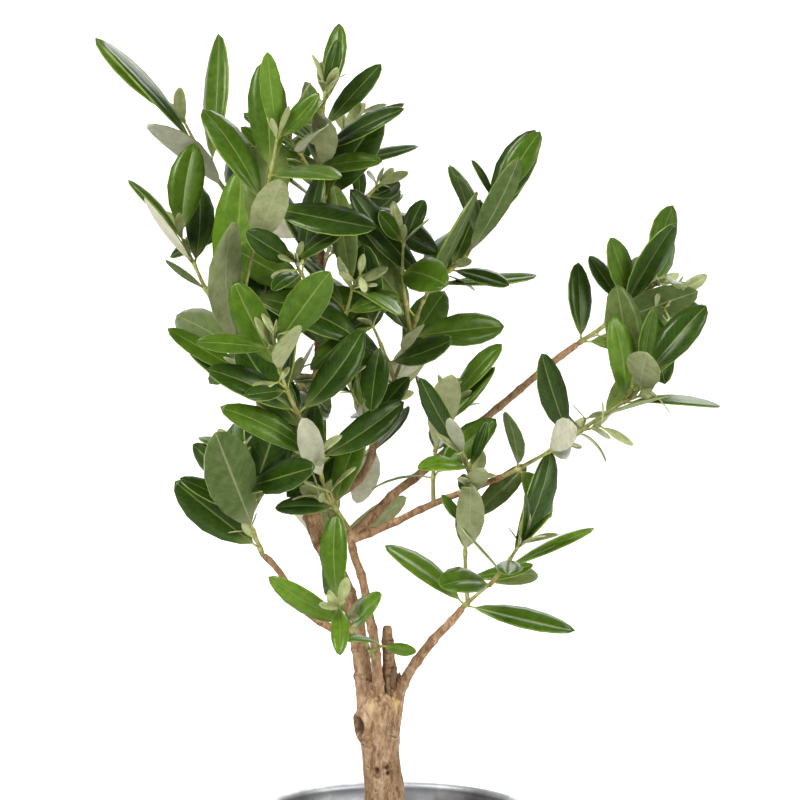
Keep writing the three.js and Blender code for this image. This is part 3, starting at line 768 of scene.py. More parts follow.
trunkShape = {
    "rings": 190,
    "around": 132,
    "bury": 6,  # below the soil
    "coreShares": (0.80, 0.955),  # where the middle of the trunk starts to round over and ends
    "webSharpness": 1.1,  # the higher, the less the hollows between the boughs' roots are filled
    "webSink": 1.5,  # how far the trunk's skin dips under the boughs' at its upper end
    "lobes": ((3, 0.03, 0.7), (5, 0.014, 2.1)),  # count around, share of radius, turn
    "lobeTwist": 0.035,  # radians for each millimetre up
    "groove": 0.34,
    "grooveScale": (0.5, 0.5, 0.12),
    "grain": 0.16,
    "grainScale": (1.7, 1.7, 0.8),
    "raggedScale": (0.6, 0.6, 0.25),  # of the edges of stains
    # a place is a height above the soil and degrees round from the right through the front, and a size is how
    # tall and how wide
    "knot": {"place": (54.5, 150), "size": (8.2, 6.2), "raise": 2.8, "hollow": 5.2},
    # the knot's rings of tone: painted shade in the hollow, a thin painted shadow just past the lip, and a
    # paler ring on the lip
    "knotRings": ((2.2, 0, 0.46), (0.5, 1.16, 0.08), (-0.14, 0.84, 0.14)),  # shade, place and width
    "holes": ((31.6, 102, 1.9, 1.35), (32.6, 71, 1.5, 1.5), (29.6, 70, 1.5, 1.3), (33.4, 133, 0.7, 0.8)),
    # creases: place, length, depth and slope
    "creases": (
        (49, 40, 5.5, 0.5, 0), (44.5, 148, 7, 0.55, 0), (13, 128, 6, 0.35, 0),
        (72.2, 106, 4.2, 0.9, 1.25), (72.6, 72, 4, 0.8, -1.0),
    ),
    # dark and pale patches: place, size and strength
    "stains": (
        (40, 104, 8.5, 3.4, 0.40), (70, 104, 3.2, 3.2, 0.45),
        (64, 78, 3.4, 2.6, 0.42), (20, 152, 12, 3, 0.25),
    ),
    # pale golden patches near the fork, lighter than the bark round them
    "palePatches": ((66, 40, 8, 1.7, 0.75), (67, 116, 5, 2.6, 0.45)),
}
# a hole is a sunken pit with a low lip round it, and the pit is darkened as painted shade
holeRow = {"width": 0.8, "lip": 0.3, "depth": 1.1, "shade": 1.25}
# a crease is a sunken line with a lip beside it, and the line is darkened as painted shade
creaseRow = {"width": 0.5, "taper": 0.7, "bow": 0.7, "bowScale": 0.45, "lip": 0.9, "shade": 0.75}
boughShape = {
    "ringEvery": 0.7,
    "around": 36,
    "bury": 0.6,  # of the root radius, back into the parent
    "ribLength": 20,  # of a bough rooted in the trunk, down the trunk's side
    "ribInward": 0.42,
    "collar": 0.3,  # how much thicker a bough is at its root
    "ribCollar": 0.14,
    "collarPower": 10,
    "nodeEvery": 15,
    "nodeSwell": 0.17,
    "nodeWidth": 1.7,
    "nodesFrom": 0.04,  # share of the length
    "scar": (1.1, 0.5),  # a dark ring so far past a node, and so wide
    "waver": 0.75,
    "waverScale": 0.06,
    "fade": 1 / 6,  # share of the length at each end over which the waver fades
    "groove": 0.055,
    "grooveScale": 0.34,
    "grain": 0.035,
    "grainScale": 1.7,
    "blunt": 0.5,  # the lower, the flatter the tip
}
deadBoughs = ("stub",)
deadRow = {"blunt": 0.12, "tone": 0.22, "streak": 0.5, "streakScale": (0.35, 0.35, 1.1)}
forkReach = 26  # how far up the boughs the crevices between them are looked for
coreStep = 1.2
creviceWidth = 1.1
creviceShade = 0.75
snagSteps = 16
snagTone = 0.62
snagRough = (0.3, 0.9)  # share of the radius, and scale
# dead stumps in the fork: foot, tip, radius at foot and tip
snagRows = (
    ((-0.8, -5.2, 196), (-0.3, -6.2, 207.5), (2.2, 1.5)),
    ((1.4, -5.0, 197), (2.5, -5.6, 204.5), (1.6, 1.0)),
)


def tubeRings(points, radius, around):
    # rings square to a path: radius is (rings, around), and the angle runs from the right through the front
    heading = unit(np.gradient(points, axis=0))
    across, toward = sidesOf(heading)
    angle = anglesOf(around)
    spoke = across[:, None] * np.cos(angle)[None, :, None] + toward[:, None] * np.sin(angle)[None, :, None]
    return points[:, None] + spoke * radius[..., None]


def pathBothWays(path, share, length, behind):
    # points of a path, and where the share is below 0, a straight run back from its root
    return pointAt(path, np.maximum(share, 0)) + np.outer(np.minimum(share, 0) * length, behind)


def trunkRadius(share):
    # even taper and a flare at the foot, rounding over between the boughs
    flare = trunkRow["flare"] * (1 - np.maximum(share, 0)) ** 5
    low, high = trunkShape["coreShares"]
    over = np.clip((share - low) / (high - low), 0, 1)
    return (valueAt(trunkRow["radius"], share) + flare) * np.sqrt(1 - over**2)


def turnFrom(angle, degrees):
    # angle from a direction round the trunk, from -pi to pi
    return (angle - degrees * rad + np.pi) % (2 * np.pi) - np.pi


def forkOutline(angle, centres, core, cores):
    # how far out from the trunk's axis its skin lies at each height and angle: a soft maximum of the trunk's
    # own radius and of how far a ray to that side runs before it leaves each bough's root
    ray = np.stack([np.cos(angle), -np.sin(angle)])
    reaches = []
    for points, radius in cores.values():
        height = points[:, 2]
        centre = [np.interp(centres[:, 2], height, points[:, axis]) - centres[:, axis] for axis in (0, 1)]
        girth = np.interp(centres[:, 2], height, radius)[:, None]
        rise = np.clip((centres[:, 2] - height[0]) / (centres[-1, 2] - height[0]), 0, 1)[:, None]
        girth = girth * np.clip(rise * 9, 0, 1) - trunkShape["webSink"] * rise**6
        ahead = centre[0][:, None] * ray[0] + centre[1][:, None] * ray[1]
        beside = np.abs(centre[0][:, None] * ray[1] - centre[1][:, None] * ray[0])
        inside = np.sqrt(np.maximum(girth**2 - beside**2, 0))
        reach = ahead + inside - 2 * np.maximum(beside - girth, 0)
        reaches.append(np.where(centres[:, 2, None] < height[0], -30, reach))
    reaches = np.array(reaches)
    sharp = trunkShape["webSharpness"]
    both = np.concatenate([reaches, core[None]])
    outline = np.log(np.exp(sharp * both).sum(axis=0)) / sharp
    second, first = np.sort(reaches, axis=0)[-2:]
    # painted shade in the valleys between the boughs' roots, where two of them reach nearly as far
    forkShade = bell(first - second, 1.1) * np.clip(first - core + 0.6, 0, 1)
    return np.maximum(outline, 0.3), forkShade


def makeTrunk(cores):
    # radius of the source's trunk, then low lobes, grooves along the grain, a knot with a hollow, and holes
    shape = trunkShape
    path = makePath(np.array(trunkRow["start"], float), trunkRow, stepsSmooth)
    share = np.linspace(-shape["bury"] / trunkRow["length"], 1, shape["rings"])
    points = pathBothWays(path, share, trunkRow["length"], [0, 0, 1])
    angle = anglesOf(shape["around"])
    height = (share * trunkRow["length"])[:, None]
    radius = np.repeat(trunkRadius(share)[:, None], shape["around"], axis=1)
    girth = trunkRow["radius"][0]

    def spotAt(level, turn, tall, wide):
        # how far off an oval spot each point of the skin lies: 1 at the spot's edge
        return np.hypot((height - level) / tall, turnFrom(angle, turn) * girth / wide)

    for count, amount, turn in shape["lobes"]:
        radius = radius * (1 + amount * np.sin(count * angle + turn + height * shape["lobeTwist"]))
    radius, forkShade = forkOutline(angle, points, radius, cores)
    skin = tubeRings(points, radius, shape["around"])
    # painted shade in those valleys darkens the bark
    tone = 0.9 * forkShade
    grooves = fractalNoise(skin * shape["grooveScale"], noiseSeeds["groove"], 3)
    radius += shape["groove"] * grooves
    # deep grooves are darkened: painted shade
    tone += np.clip(-grooves * 1.3 - 0.5, 0, 1) * 0.5
    radius += shape["grain"] * fractalNoise(skin * shape["grainScale"], noiseSeeds["grain"], 3)
    knot = shape["knot"]
    off = spotAt(*knot["place"], *knot["size"])
    lip = bell(off - 0.72, 0.26)
    pit = bell(off, 0.5)
    radius += knot["raise"] * (lip + 0.55 * bell(off, 1)) - knot["hollow"] * pit
    # painted shade in the knot's hollow, a painted shadow past its lip, and a paler ring on the lip
    tone += sum(shade * bell(off - at, wide) for shade, at, wide in shape["knotRings"])
    for hole in shape["holes"]:
        off = spotAt(*hole)
        pit = bell(off, holeRow["width"])
        radius += holeRow["lip"] * bell(off - 1.4, 0.5) - holeRow["depth"] * pit
        # painted shade in the pit
        tone += holeRow["shade"] * pit
    for level, turn, length, depth, slope in shape["creases"]:
        along = turnFrom(angle, turn) * girth
        away = height - level - slope * along - creaseRow["bow"] * np.sin(along * creaseRow["bowScale"])
        ends = bell(along, length * creaseRow["taper"])
        line = bell(away, creaseRow["width"]) * ends
        radius += depth * (creaseRow["lip"] * bell(away - 1.4, 1.1) * ends - line)
        # painted shade along the crease
        tone += creaseRow["shade"] * line
    for kind, sign in (("stains", 1), ("palePatches", -1)):
        for *spot, strength in shape[kind]:
            ragged = spotAt(*spot) + 0.35 * fractalNoise(skin * shape["raggedScale"], noiseSeeds["stain"], 2)
            tone += sign * strength * np.clip(1.6 - 1.6 * ragged, 0, 1)
    store = newStore()
    addTube(store, tubeRings(points, radius, shape["around"]), 0, np.clip(tone, -1, 1))
    return makeObject("trunkBark", store, [makeMaterial(oliveBark)])


def limbCores(limbs):
    # points down the middle of each bough that roots in the trunk, near the fork, with its radius there
    cores = {}
    for name, row in boughs.items():
        if "aside" in row:
            span = np.arange(-boughShape["ribLength"], forkReach, coreStep)
            share = span / row["length"]
            cores[name] = (rootPath(row, limbs[name]["start"], share), boughRadius(row, share))
    return cores


def creviceTone(skin, name, cores):
    # 1 where the skin of one limb meets another's, falling to 0 a little way off
    flat = skin.reshape(-1, 3)
    nearest = np.full(len(flat), 99.0)
    for other, (points, radius) in cores.items():
        if other != name:
            apart = np.linalg.norm(flat[:, None] - points[None], axis=-1) - radius
            nearest = np.minimum(nearest, apart.min(axis=1))
    return bell(np.maximum(nearest, 0), creviceWidth).reshape(skin.shape[:2])


def rootPath(row, start, share):
    # a bough in the trunk runs on below its root as a rib that sinks into the trunk, others a little way back
    below = np.minimum(share, 0) * row["length"]
    path = makePath(start, row, stepsSmooth)
    along = pointAt(path, np.maximum(share, 0))
    if "aside" not in row:
        return along + np.outer(below, unit(path[1] - path[0]))
    sunk = -below / boughShape["ribLength"]
    right, front = row["aside"]
    inward = np.outer(sunk**1.4 * boughShape["ribInward"], [-right, front, 0])
    return along + np.outer(below, [0, 0, 1]) + inward


def boughRadius(row, share):
    # even taper with a collar at the root, and a rib below it that rounds off
    shape = boughShape
    base = valueAt(row["radius"], np.clip(share, 0, 1))
    collar = shape["ribCollar"] if "aside" in row else shape["collar"]
    base += base[0] * collar * (1 - np.abs(np.clip(share, -1, 1))) ** shape["collarPower"]
    if "aside" in row:
        sunk = np.clip(-share * row["length"] / shape["ribLength"], 0, 1)
        base *= np.sqrt(np.maximum(1 - sunk**2, 0.02))
    return base


def addBough(store, name, row, start, number, cores):
    # a tube whose radius swells at its root and at even nodes, and whose axis wavers a little
    shape = boughShape
    behind = shape["ribLength"] if "aside" in row else shape["bury"] * row["radius"][0]
    rings = int((row["length"] + behind) / shape["ringEvery"])
    share = np.linspace(-behind / row["length"], 1, rings)
    points = rootPath(row, start, share)
    span = share * row["length"]
    inside = np.clip(share / shape["fade"], 0, 1) * np.clip((1 - share) / shape["fade"], 0, 1)
    for axis in range(3):
        apart = [np.full(rings, number * 7.3), np.full(rings, axis * 3.1)]
        wave = np.stack([span * shape["waverScale"], *apart], axis=-1)
        points[:, axis] += shape["waver"] * latticeNoise(wave, noiseSeeds["waver"]) * inside
    base = boughRadius(row, share)
    offset = (number * 5.7) % shape["nodeEvery"]
    toNode = (span + offset + shape["nodeEvery"] / 2) % shape["nodeEvery"] - shape["nodeEvery"] / 2
    toNode = np.where(share > shape["nodesFrom"], toNode, shape["nodeEvery"])
    base *= 1 + shape["nodeSwell"] * bell(toNode, shape["nodeWidth"])
    radius = np.repeat(base[:, None], shape["around"], axis=1)
    skin = tubeRings(points, radius, shape["around"])
    ridges = fractalNoise(skin * shape["grooveScale"], noiseSeeds["boughGroove"] + number, 3)
    grain = fractalNoise(skin * shape["grainScale"], noiseSeeds["boughGrain"] + number, 2)
    radius = radius * (1 + shape["groove"] * ridges + shape["grain"] * grain)
    ringLine = bell(toNode - shape["scar"][0], shape["scar"][1])[:, None]
    tone = np.clip(-grain - 0.35, 0, 1) * 0.6 + 0.65 * ringLine * (0.6 + 0.6 * ridges)
    if name in deadBoughs:
        streaks = np.clip(fractalNoise(skin * deadRow["streakScale"], noiseSeeds["dead"], 2) - 0.05, 0, 1)
        tone += deadRow["tone"] + deadRow["streak"] * streaks
    blunt = deadRow["blunt"] if name in deadBoughs else shape["blunt"]
    tip = np.clip((1 - share) * row["length"] / base, 0.02, 1)[:, None] ** blunt
    skin = tubeRings(points, radius * tip, shape["around"])
    if name in cores:
        tone += creviceShade * creviceTone(skin, name, cores)
    addTube(store, skin, 0, np.clip(tone, 0, 1))


def makeBoughs(limbs, cores):
    # all the boughs, and the dead stumps between them, as one mesh
    store = newStore()
    for number, (name, row) in enumerate(boughs.items()):
        addBough(store, name, row, limbs[name]["start"], number, cores)
    share = np.linspace(0, 1, snagSteps)
    rough, scale = snagRough
    for number, (foot, tip, ends) in enumerate(snagRows):
        points = np.array(foot) + np.outer(share, np.subtract(tip, foot))
        radius = np.repeat((valueAt(ends, share) * np.sqrt(1 - share**6 * 0.95))[:, None], snagSteps, axis=1)
        skin = tubeRings(points, radius, snagSteps) * scale
        radius = radius * (1 + rough * fractalNoise(skin, noiseSeeds["snag"] + number, 2))
        addTube(store, tubeRings(points, radius, snagSteps), 0, np.full_like(radius, snagTone))
    return makeObject("boughBark", store, [makeMaterial({**oliveBark, "name": "boughBark"})])


twigShape = {
    "around": 8,
    "pathSteps": 48,
    "ringEvery": 1.3,
    "leastRings": 8,
    "radius": (1.25, 0.68),
    "spurRadius": (0.75, 0.5),
    "nodeSwell": 0.45,
    "nodeWidth": 1.7,
    "scar": (0.8, 0.8),  # strength and width of the brown ring beside a node
    "footBrown": (0.5, 1.4),  # how brown a foot is, and how soon that ends
    "nodeFresh": 0.9,
    "bury": 1.2,
    "budLength": 2.4,
}
leafShape = {
    "along": (0.0, 0.09, 0.17, 0.33, 0.52, 0.71, 0.86, 0.95),
    "fullness": 0.58,  # the lower, the blunter both ends of the blade
    "fuller": 1.08,
    "longer": 1.035,  # fuller and longer by so much than the leaves that the rule grows
    "stalkHalf": 0.6,
    "stalkThick": 0.9,
    "tipPower": 1.12,  # the higher, the nearer its tip a leaf is widest
    "margin": 0.2,
    "bladeLeast": 0.75,  # share of the half width inside the margin, where a leaf is narrow
    "midWay": (0.5, 0.8),  # where the blade is highest between rib and margin, and share of the arch there
    "thick": 0.5,
    "rimDrop": 0.6,  # how far the rim stands below the upper side, as a share of the thickness
    "fold": (0.08, 0.36),  # how far each half of the blade arches, as a share of its half width
    "roll": 0.8,  # how much of that arch the rim turns back down
    "marginRoll": 0.7,  # and how much of that the inner edge of the margin
    "twist": 14,
    "sway": 0.035,  # sideways bow of the midrib, as a share of the length
}
# small felted leaves, still half closed: at the tips of shoots and on short spurs beside older leaves
youngRow = {
    "shortest": 23,  # shoots shorter than this have none
    "tipLength": (12, 22),
    "tipSpread": (12, 50),
    "spurChance": 0.22,
    "spurLength": (5, 13),
    "spurSpread": 38,
    "leafLength": (10, 21),
    "leafSpread": (22, 66),
    "widthShare": (0.3, 0.42),
    "bend": (-14, 34),
    "leastBend": 0.02,  # radians
    "secondSize": 0.6,  # of the second pair at a tip
    "spurFoot": 1.2,  # how far past its leaf a spur stands
    "lowerPair": (9, 0.55),  # spurs longer than this have a second pair, at this share
    "clear": (3, 0.6),  # gap from the limbs to a spur's tip, and to a young leaf
}
# darker and lighter colour of each leaf's mottling, and where they stand in it
mottleStops = (0.3, 0.68)
leafTones = {
    "leafDark": ((0.013, 0.036, 0.002), (0.028, 0.066, 0.004)),
    "leafMid": ((0.038, 0.088, 0.003), (0.072, 0.142, 0.008)),
    "leafOlive": ((0.070, 0.106, 0.018), (0.130, 0.176, 0.044)),
    "leafFresh": ((0.062, 0.138, 0.004), (0.112, 0.206, 0.014)),
}
underTones = {
    "underSilver": ((0.42, 0.42, 0.30), (0.60, 0.58, 0.44)),
    "underFelt": ((0.24, 0.27, 0.11), (0.38, 0.40, 0.21)),
    # undersides darkened to the olive green they show in shade: painted shade
    "underShadedOlive": ((0.060, 0.095, 0.024), (0.105, 0.148, 0.046)),
}
# shares of a spray's leaves that have each upper tone (dark, mid, olive, fresh) and under tone (silver, felt,
# shaded olive, which is painted shade)
toneMixes = {
    # the dark mix gives mostly the shaded olive undersides, so its sprays carry painted shade
    "dark": ((0.8, 0.18, 0.02, 0), (0.05, 0.15, 0.8)),
    "mixed": ((0.52, 0.34, 0.08, 0.06), (0.4, 0.32, 0.28)),
    "light": ((0.38, 0.38, 0.12, 0.12), (0.54, 0.3, 0.16)),
    "fresh": ((0.05, 0.3, 0.05, 0.6), (0.1, 0.5, 0.4)),
}
sprayTones = {
    "lowFront": "fresh", "lowLeft": "dark", "upperLeft": "light", "topLeft": "light",
    "topCentre": "light", "topRight": "mixed", "centreRight": "mixed", "farRight": "mixed",
    "midRight": "light", "midSide": "light", "midFront": "light", "lowRight": "light",
    "frontLeft": "mixed", "innerLeft": "dark", "innerRight": "mixed", "innerTop": "mixed",
    "innerFront": "dark", "rearLeft": "dark", "rearRight": "mixed", "rearTop": "mixed",
    "rearLow": "light",
}
toneSeed = 198778  # deals the tones to the leaves
leafSeed = 7  # bends and shades each leaf
youngSeed = 21  # places spurs and young leaves
edgeTones = {
    "leafMargin": ((0.12, 0.18, 0.02), (0.23, 0.30, 0.06)),
    "leafStalk": ((0.36, 0.36, 0.04), (0.52, 0.48, 0.09)),
    "leafYoung": ((0.24, 0.28, 0.09), (0.46, 0.48, 0.24)),
}
veinRow = {"slant": 0.22, "gap": 0.036}
leafFinish = {
    "upper": {
        "roughness": 0.29, "specular": 0.27, "glossTint": (0.92, 1, 0.72), "bump": 0.3,
        "rib": (0.30, 0.36, 0.10),
    },
    "under": {"roughness": 0.75, "specular": 0.06, "bump": 0.4, "rib": (0.42, 0.40, 0.25)},
}


def leafMaterial(name, colours, side):
    # a mottled blade with a pale rib and side veins; each leaf has its own shade
    rib = leafFinish[side]["rib"]
    return makeMaterial({
        **leafFinish[side],
        "name": name,
        "mottleScale": 200,
        "tones": list(zip(mottleStops, colours)),
        "layers": [
            overlay("leaf", (0.45, 1), 0.55, (0.5, 0.56, 0.5), blend="MULTIPLY"),
            overlay("vein", (0.007, 0.0), 0.07, rib, **veinRow),
            overlay("foot", (0.3, 0.08), 0.35, rib),
            overlay("rib", (0.07, 0.015), 0.4, rib),
            overlay("cells", (0.07, 0.03), 0.5, (0.20, 0.15, 0.05), scale=260),
        ],
        "grainScale": 620,
        "bumpDepth": 0.25,
    })


def growYoung(masses, limbs, seed):
    # the spurs, and all the young leaves, that stand clear of the limbs
    chance = np.random.default_rng(seed)
    row = youngRow
    limbAxes = axesOf(limbs)
    spurs, young = [], []
    for mass in masses.values():
        for shoot in mass["shoots"]:
            path = shoot["points"]
            if shoot["row"]["length"] <= row["shortest"]:
                continue
            if not shoot["row"].get("open"):
                heading = directionAt(path, 0.99)
                turn = chance.uniform(0, np.pi)
                young += youngPair(chance, path[-1], heading, turn, row["tipLength"], row["tipSpread"])
                small = [row["secondSize"] * length for length in row["tipLength"]]
                young += youngPair(chance, path[-1], heading, turn + np.pi / 2, small, row["tipSpread"])
            for leaf in shoot["leaves"]:
                if chance.uniform() > row["spurChance"]:
                    continue
                lean = row["spurSpread"] * rad
                ahead = unit(leaf["heading"] * np.cos(lean) + unit(leaf["out"]) * np.sin(lean))
                length = chance.uniform(*row["spurLength"])
                foot = leaf["root"] + leaf["heading"] * row["spurFoot"]
                tip = foot + ahead * length
                if anyNearer(tip[None], limbAxes[:, :3], limbAxes[:, 3] + row["clear"][0]):
                    continue
                spurs.append((foot, tip))
                turn = chance.uniform(0, np.pi)
                sizes = (row["leafLength"], row["leafSpread"])
                young += youngPair(chance, tip, ahead, turn, *sizes)
                longSpur, lower = row["lowerPair"]
                if length > longSpur:
                    young += youngPair(chance, foot + ahead * length * lower, ahead, turn + np.pi / 2, *sizes)
    gap = limbAxes[:, 3] + row["clear"][1]
    return spurs, [leaf for leaf in young if not anyNearer(leafPoints(leaf), limbAxes[:, :3], gap)]


def youngPair(chance, root, heading, turn, lengths, spreads):
    # two small leaves face to face, each with its upper side towards the twig
    across, toward = sidesOf(heading)
    sideways = across * np.cos(turn) + toward * np.sin(turn)
    pair = []
    for sign in (1, -1):
        spread = chance.uniform(*spreads) * rad
        length = chance.uniform(*lengths)
        out, upper = spreadOut(heading, sideways * sign, spread)
        bend = chance.uniform(*youngRow["bend"]) * rad
        pair.append({
            "root": root, "out": out, "upper": upper, "edge": np.cross(out, upper),
            "length": length, "width": length * chance.uniform(*youngRow["widthShare"]),
            "bend": bend if abs(bend) > youngRow["leastBend"] else youngRow["leastBend"],
        })
    return pair


def leafRows(leaves):
    # the leaves as arrays, one row for each
    return {key: np.array([leaf[key] for leaf in leaves]) for key in
            ("root", "out", "upper", "edge", "length", "width", "bend")}


def makeLeaves(leaves, seed):
    # each leaf is eight points round a slim section, carried along its midrib and closed at both ends
    shape = leafShape
    chance = np.random.default_rng(seed)
    row = leafRows(leaves)
    count = len(leaves)
    share = np.array(shape["along"])
    fold = chance.uniform(*shape["fold"], count)
    twist = chance.uniform(-1, 1, count) * shape["twist"] * rad
    sway = chance.normal(0, 1, count) * shape["sway"]
    turned = row["bend"][:, None] * share
    length = row["length"][:, None] * shape["longer"]
    out = np.sin(turned) / row["bend"][:, None] * length
    down = (1 - np.cos(turned)) / row["bend"][:, None] * length
    aside = sway[:, None] * length * share * (1 - share) * 2
    rowOut, rowUpper, rowEdge = (row[key][:, None] for key in ("out", "upper", "edge"))
    middle = row["root"][:, None] + out[..., None] * rowOut - down[..., None] * rowUpper
    middle = middle + aside[..., None] * rowEdge
    upper = np.cos(turned)[..., None] * rowUpper + np.sin(turned)[..., None] * rowOut
    edge = np.repeat(rowEdge, len(share), axis=1)
    spin = (twist[:, None] * share)[..., None]
    edge, upper = edge * np.cos(spin) + upper * np.sin(spin), upper * np.cos(spin) - edge * np.sin(spin)
    blade = bladeShare(share)
    outline = np.sin(np.pi * blade ** shape["tipPower"]) ** shape["fullness"] * shape["fuller"]
    half = np.maximum(0.5 * row["width"][:, None] * outline, shape["stalkHalf"])
    inner = np.maximum(half - shape["margin"], half * shape["bladeLeast"])
    thick = np.where(blade > 0, shape["thick"], shape["stalkThick"])[None, :] + np.zeros_like(half)
    arch = fold[:, None] * half * (blade > 0)
    # across and up for the eight points: left rim, margin and mid, the rib, right mid, margin and rim, and
    # under the rib
    flat = np.zeros_like(half)
    mid, high = half * shape["midWay"][0], arch * shape["midWay"][1]
    across = np.stack([-half, -inner, -mid, flat, mid, inner, half, flat], axis=-1)
    rim = arch * (1 - shape["roll"]) - thick * shape["rimDrop"]
    margin = arch * (1 - shape["roll"] * shape["marginRoll"])
    height = np.stack([rim, margin, high, flat, high, margin, rim, -thick], axis=-1)
    rings = middle[:, :, None] + across[..., None] * edge[:, :, None] + height[..., None] * upper[:, :, None]
    ahead = row["out"] * np.cos(row["bend"])[:, None] - row["upper"] * np.sin(row["bend"])[:, None]
    tip = rings[:, -1].mean(axis=1) + ahead * length * (1 - share[-1])
    foot = rings[:, 0].mean(axis=1)
    points = np.concatenate([rings.reshape(count, -1, 3), foot[:, None], tip[:, None]], axis=1)
    # place on the blade: share of the half width, share of the length, and a shade for each leaf
    place = np.zeros_like(points)
    place[:, :-2, 0] = (across / half[..., None]).reshape(count, -1)
    place[:, :-2, 1] = np.repeat(share, rings.shape[2])
    place[:, -1, 1] = 1
    place[..., 2] = chance.uniform(0, 1, count)[:, None]
    return points, place, len(share), rings.shape[2]


def leafFaces(rings, around):
    # faces of one leaf in groups by colour: upper blade, its margin, the underside, and the stalk
    quads, fans = ringFaces(rings, around)
    quads = quads.reshape(rings - 1, around, 4)
    ends = fans.reshape(2, around, 3)
    columns = {"upper": [1, 2, 3, 4], "margin": [0, 5], "under": [6, 7]}
    faces = {part: [quads[1:, where].reshape(-1, 4), ends[1][where]] for part, where in columns.items()}
    faces["stalk"] = [quads[0], ends[0]]
    return faces


def dealTones(sprays):
    # an upper and an under tone for each leaf: the first whose summed share passes the leaf's draw
    chance = np.random.default_rng(toneSeed)
    draws = chance.uniform(0, 1, (2, len(sprays)))
    slots = np.zeros((2, len(sprays)), int)
    for i, spray in enumerate(sprays):
        for side, shares in enumerate(toneMixes[sprayTones[spray]]):
            slots[side, i] = np.searchsorted(np.cumsum(shares)[:-1], draws[side, i])
    return slots


def buildLeaves(leaves, sprays, name, seed):
    # all the leaves as one mesh: those first ones that have a spray are grown, and the rest young
    grown = len(sprays)
    points, place, rings, around = makeLeaves(leaves, seed)
    count, each = points.shape[:2]
    tables = ((leafTones, "upper"), (underTones, "under"), (edgeTones, "upper"))
    materials = [leafMaterial(key, table[key], side) for table, side in tables for key in table]
    firstEdge = len(leafTones) + len(underTones)
    young = np.full(count - grown, firstEdge + 2)
    upper, under = dealTones(sprays)
    slots = {
        "upper": np.concatenate([upper, young]),
        "under": np.concatenate([under + len(leafTones), young]),
        "margin": np.concatenate([np.full(grown, firstEdge), young]),
        "stalk": np.full(count, firstEdge + 1),
    }
    store = newStore()
    groups, numbers = [], []
    for part, shapes in leafFaces(rings, around).items():
        for faces in shapes:
            groups.append(repeatFaces(faces, count, each))
            numbers.append(np.repeat(slots[part], len(faces)))
    addFaces(store, points, groups, numbers)
    piece = makeObject(name, store, materials)
    piece.data.attributes.new("blade", "FLOAT_VECTOR", "POINT").data.foreach_set("vector", place.ravel())
    rim = np.zeros(each, bool)
    rim[: rings * around] = np.isin(np.arange(rings * around) % around, (0, 3, 6))
    rim[:around] = False
    sharpenRims(piece, np.tile(rim, count))
    return piece


def makeTwigs(masses, spurs):
    # slim tubes that swell where a pair of leaves stands, each closed by a pointed bud
    shape = twigShape
    store = newStore()
    for mass in masses.values():
        for shoot in mass["shoots"]:
            row = shoot["row"]
            path = makePath(shoot["start"], row, shape["pathSteps"])
            rings = max(int(row["length"] / shape["ringEvery"]), shape["leastRings"])
            share = np.linspace(-shape["bury"] / row["length"], 1, rings)
            ahead = unit(path[1] - path[0])
            points = pathBothWays(path, share, row["length"], ahead)
            radius = valueAt(shape["radius"], np.clip(share, 0, 1))
            swell = np.zeros_like(radius)
            dark = np.zeros_like(radius)
            for leaf in shoot["leaves"]:
                away = np.linalg.norm(points - leaf["root"], axis=1)
                swell = np.maximum(swell, bell(away, shape["nodeWidth"]))
                dark = np.maximum(dark, shape["scar"][0] * bell(away - shape["nodeWidth"], shape["scar"][1]))
            radius = radius * (1 + shape["nodeSwell"] * swell)
            brown, fall = shape["footBrown"]
            dark += brown * np.clip(1 - fall * share, 0, 1) - shape["nodeFresh"] * swell
            addTwig(store, points, radius, dark, 0 if row.get("open") else shape["budLength"])
    share = np.linspace(0, 1, shape["leastRings"])
    for foot, tip in spurs:
        points = foot + np.outer(share, tip - foot)
        addTwig(store, points, valueAt(shape["spurRadius"], share), np.zeros(len(share)), 0)
    return makeObject("twigs", store, [makeMaterial(barkTwig)])


def addTwig(store, points, radius, dark, budLength):
    # one slim tube, its last stretch drawn in to a point where it ends in a bud
    toTip = np.linalg.norm(points - points[-1], axis=1)
    if budLength:
        radius = radius * np.clip(toTip / budLength, 0.1, 1) ** 0.5
    around = twigShape["around"]
    skin = np.repeat(radius[:, None], around, axis=1)
    addTube(store, tubeRings(points, skin, around), 0, np.repeat(dark[:, None], around, axis=1))


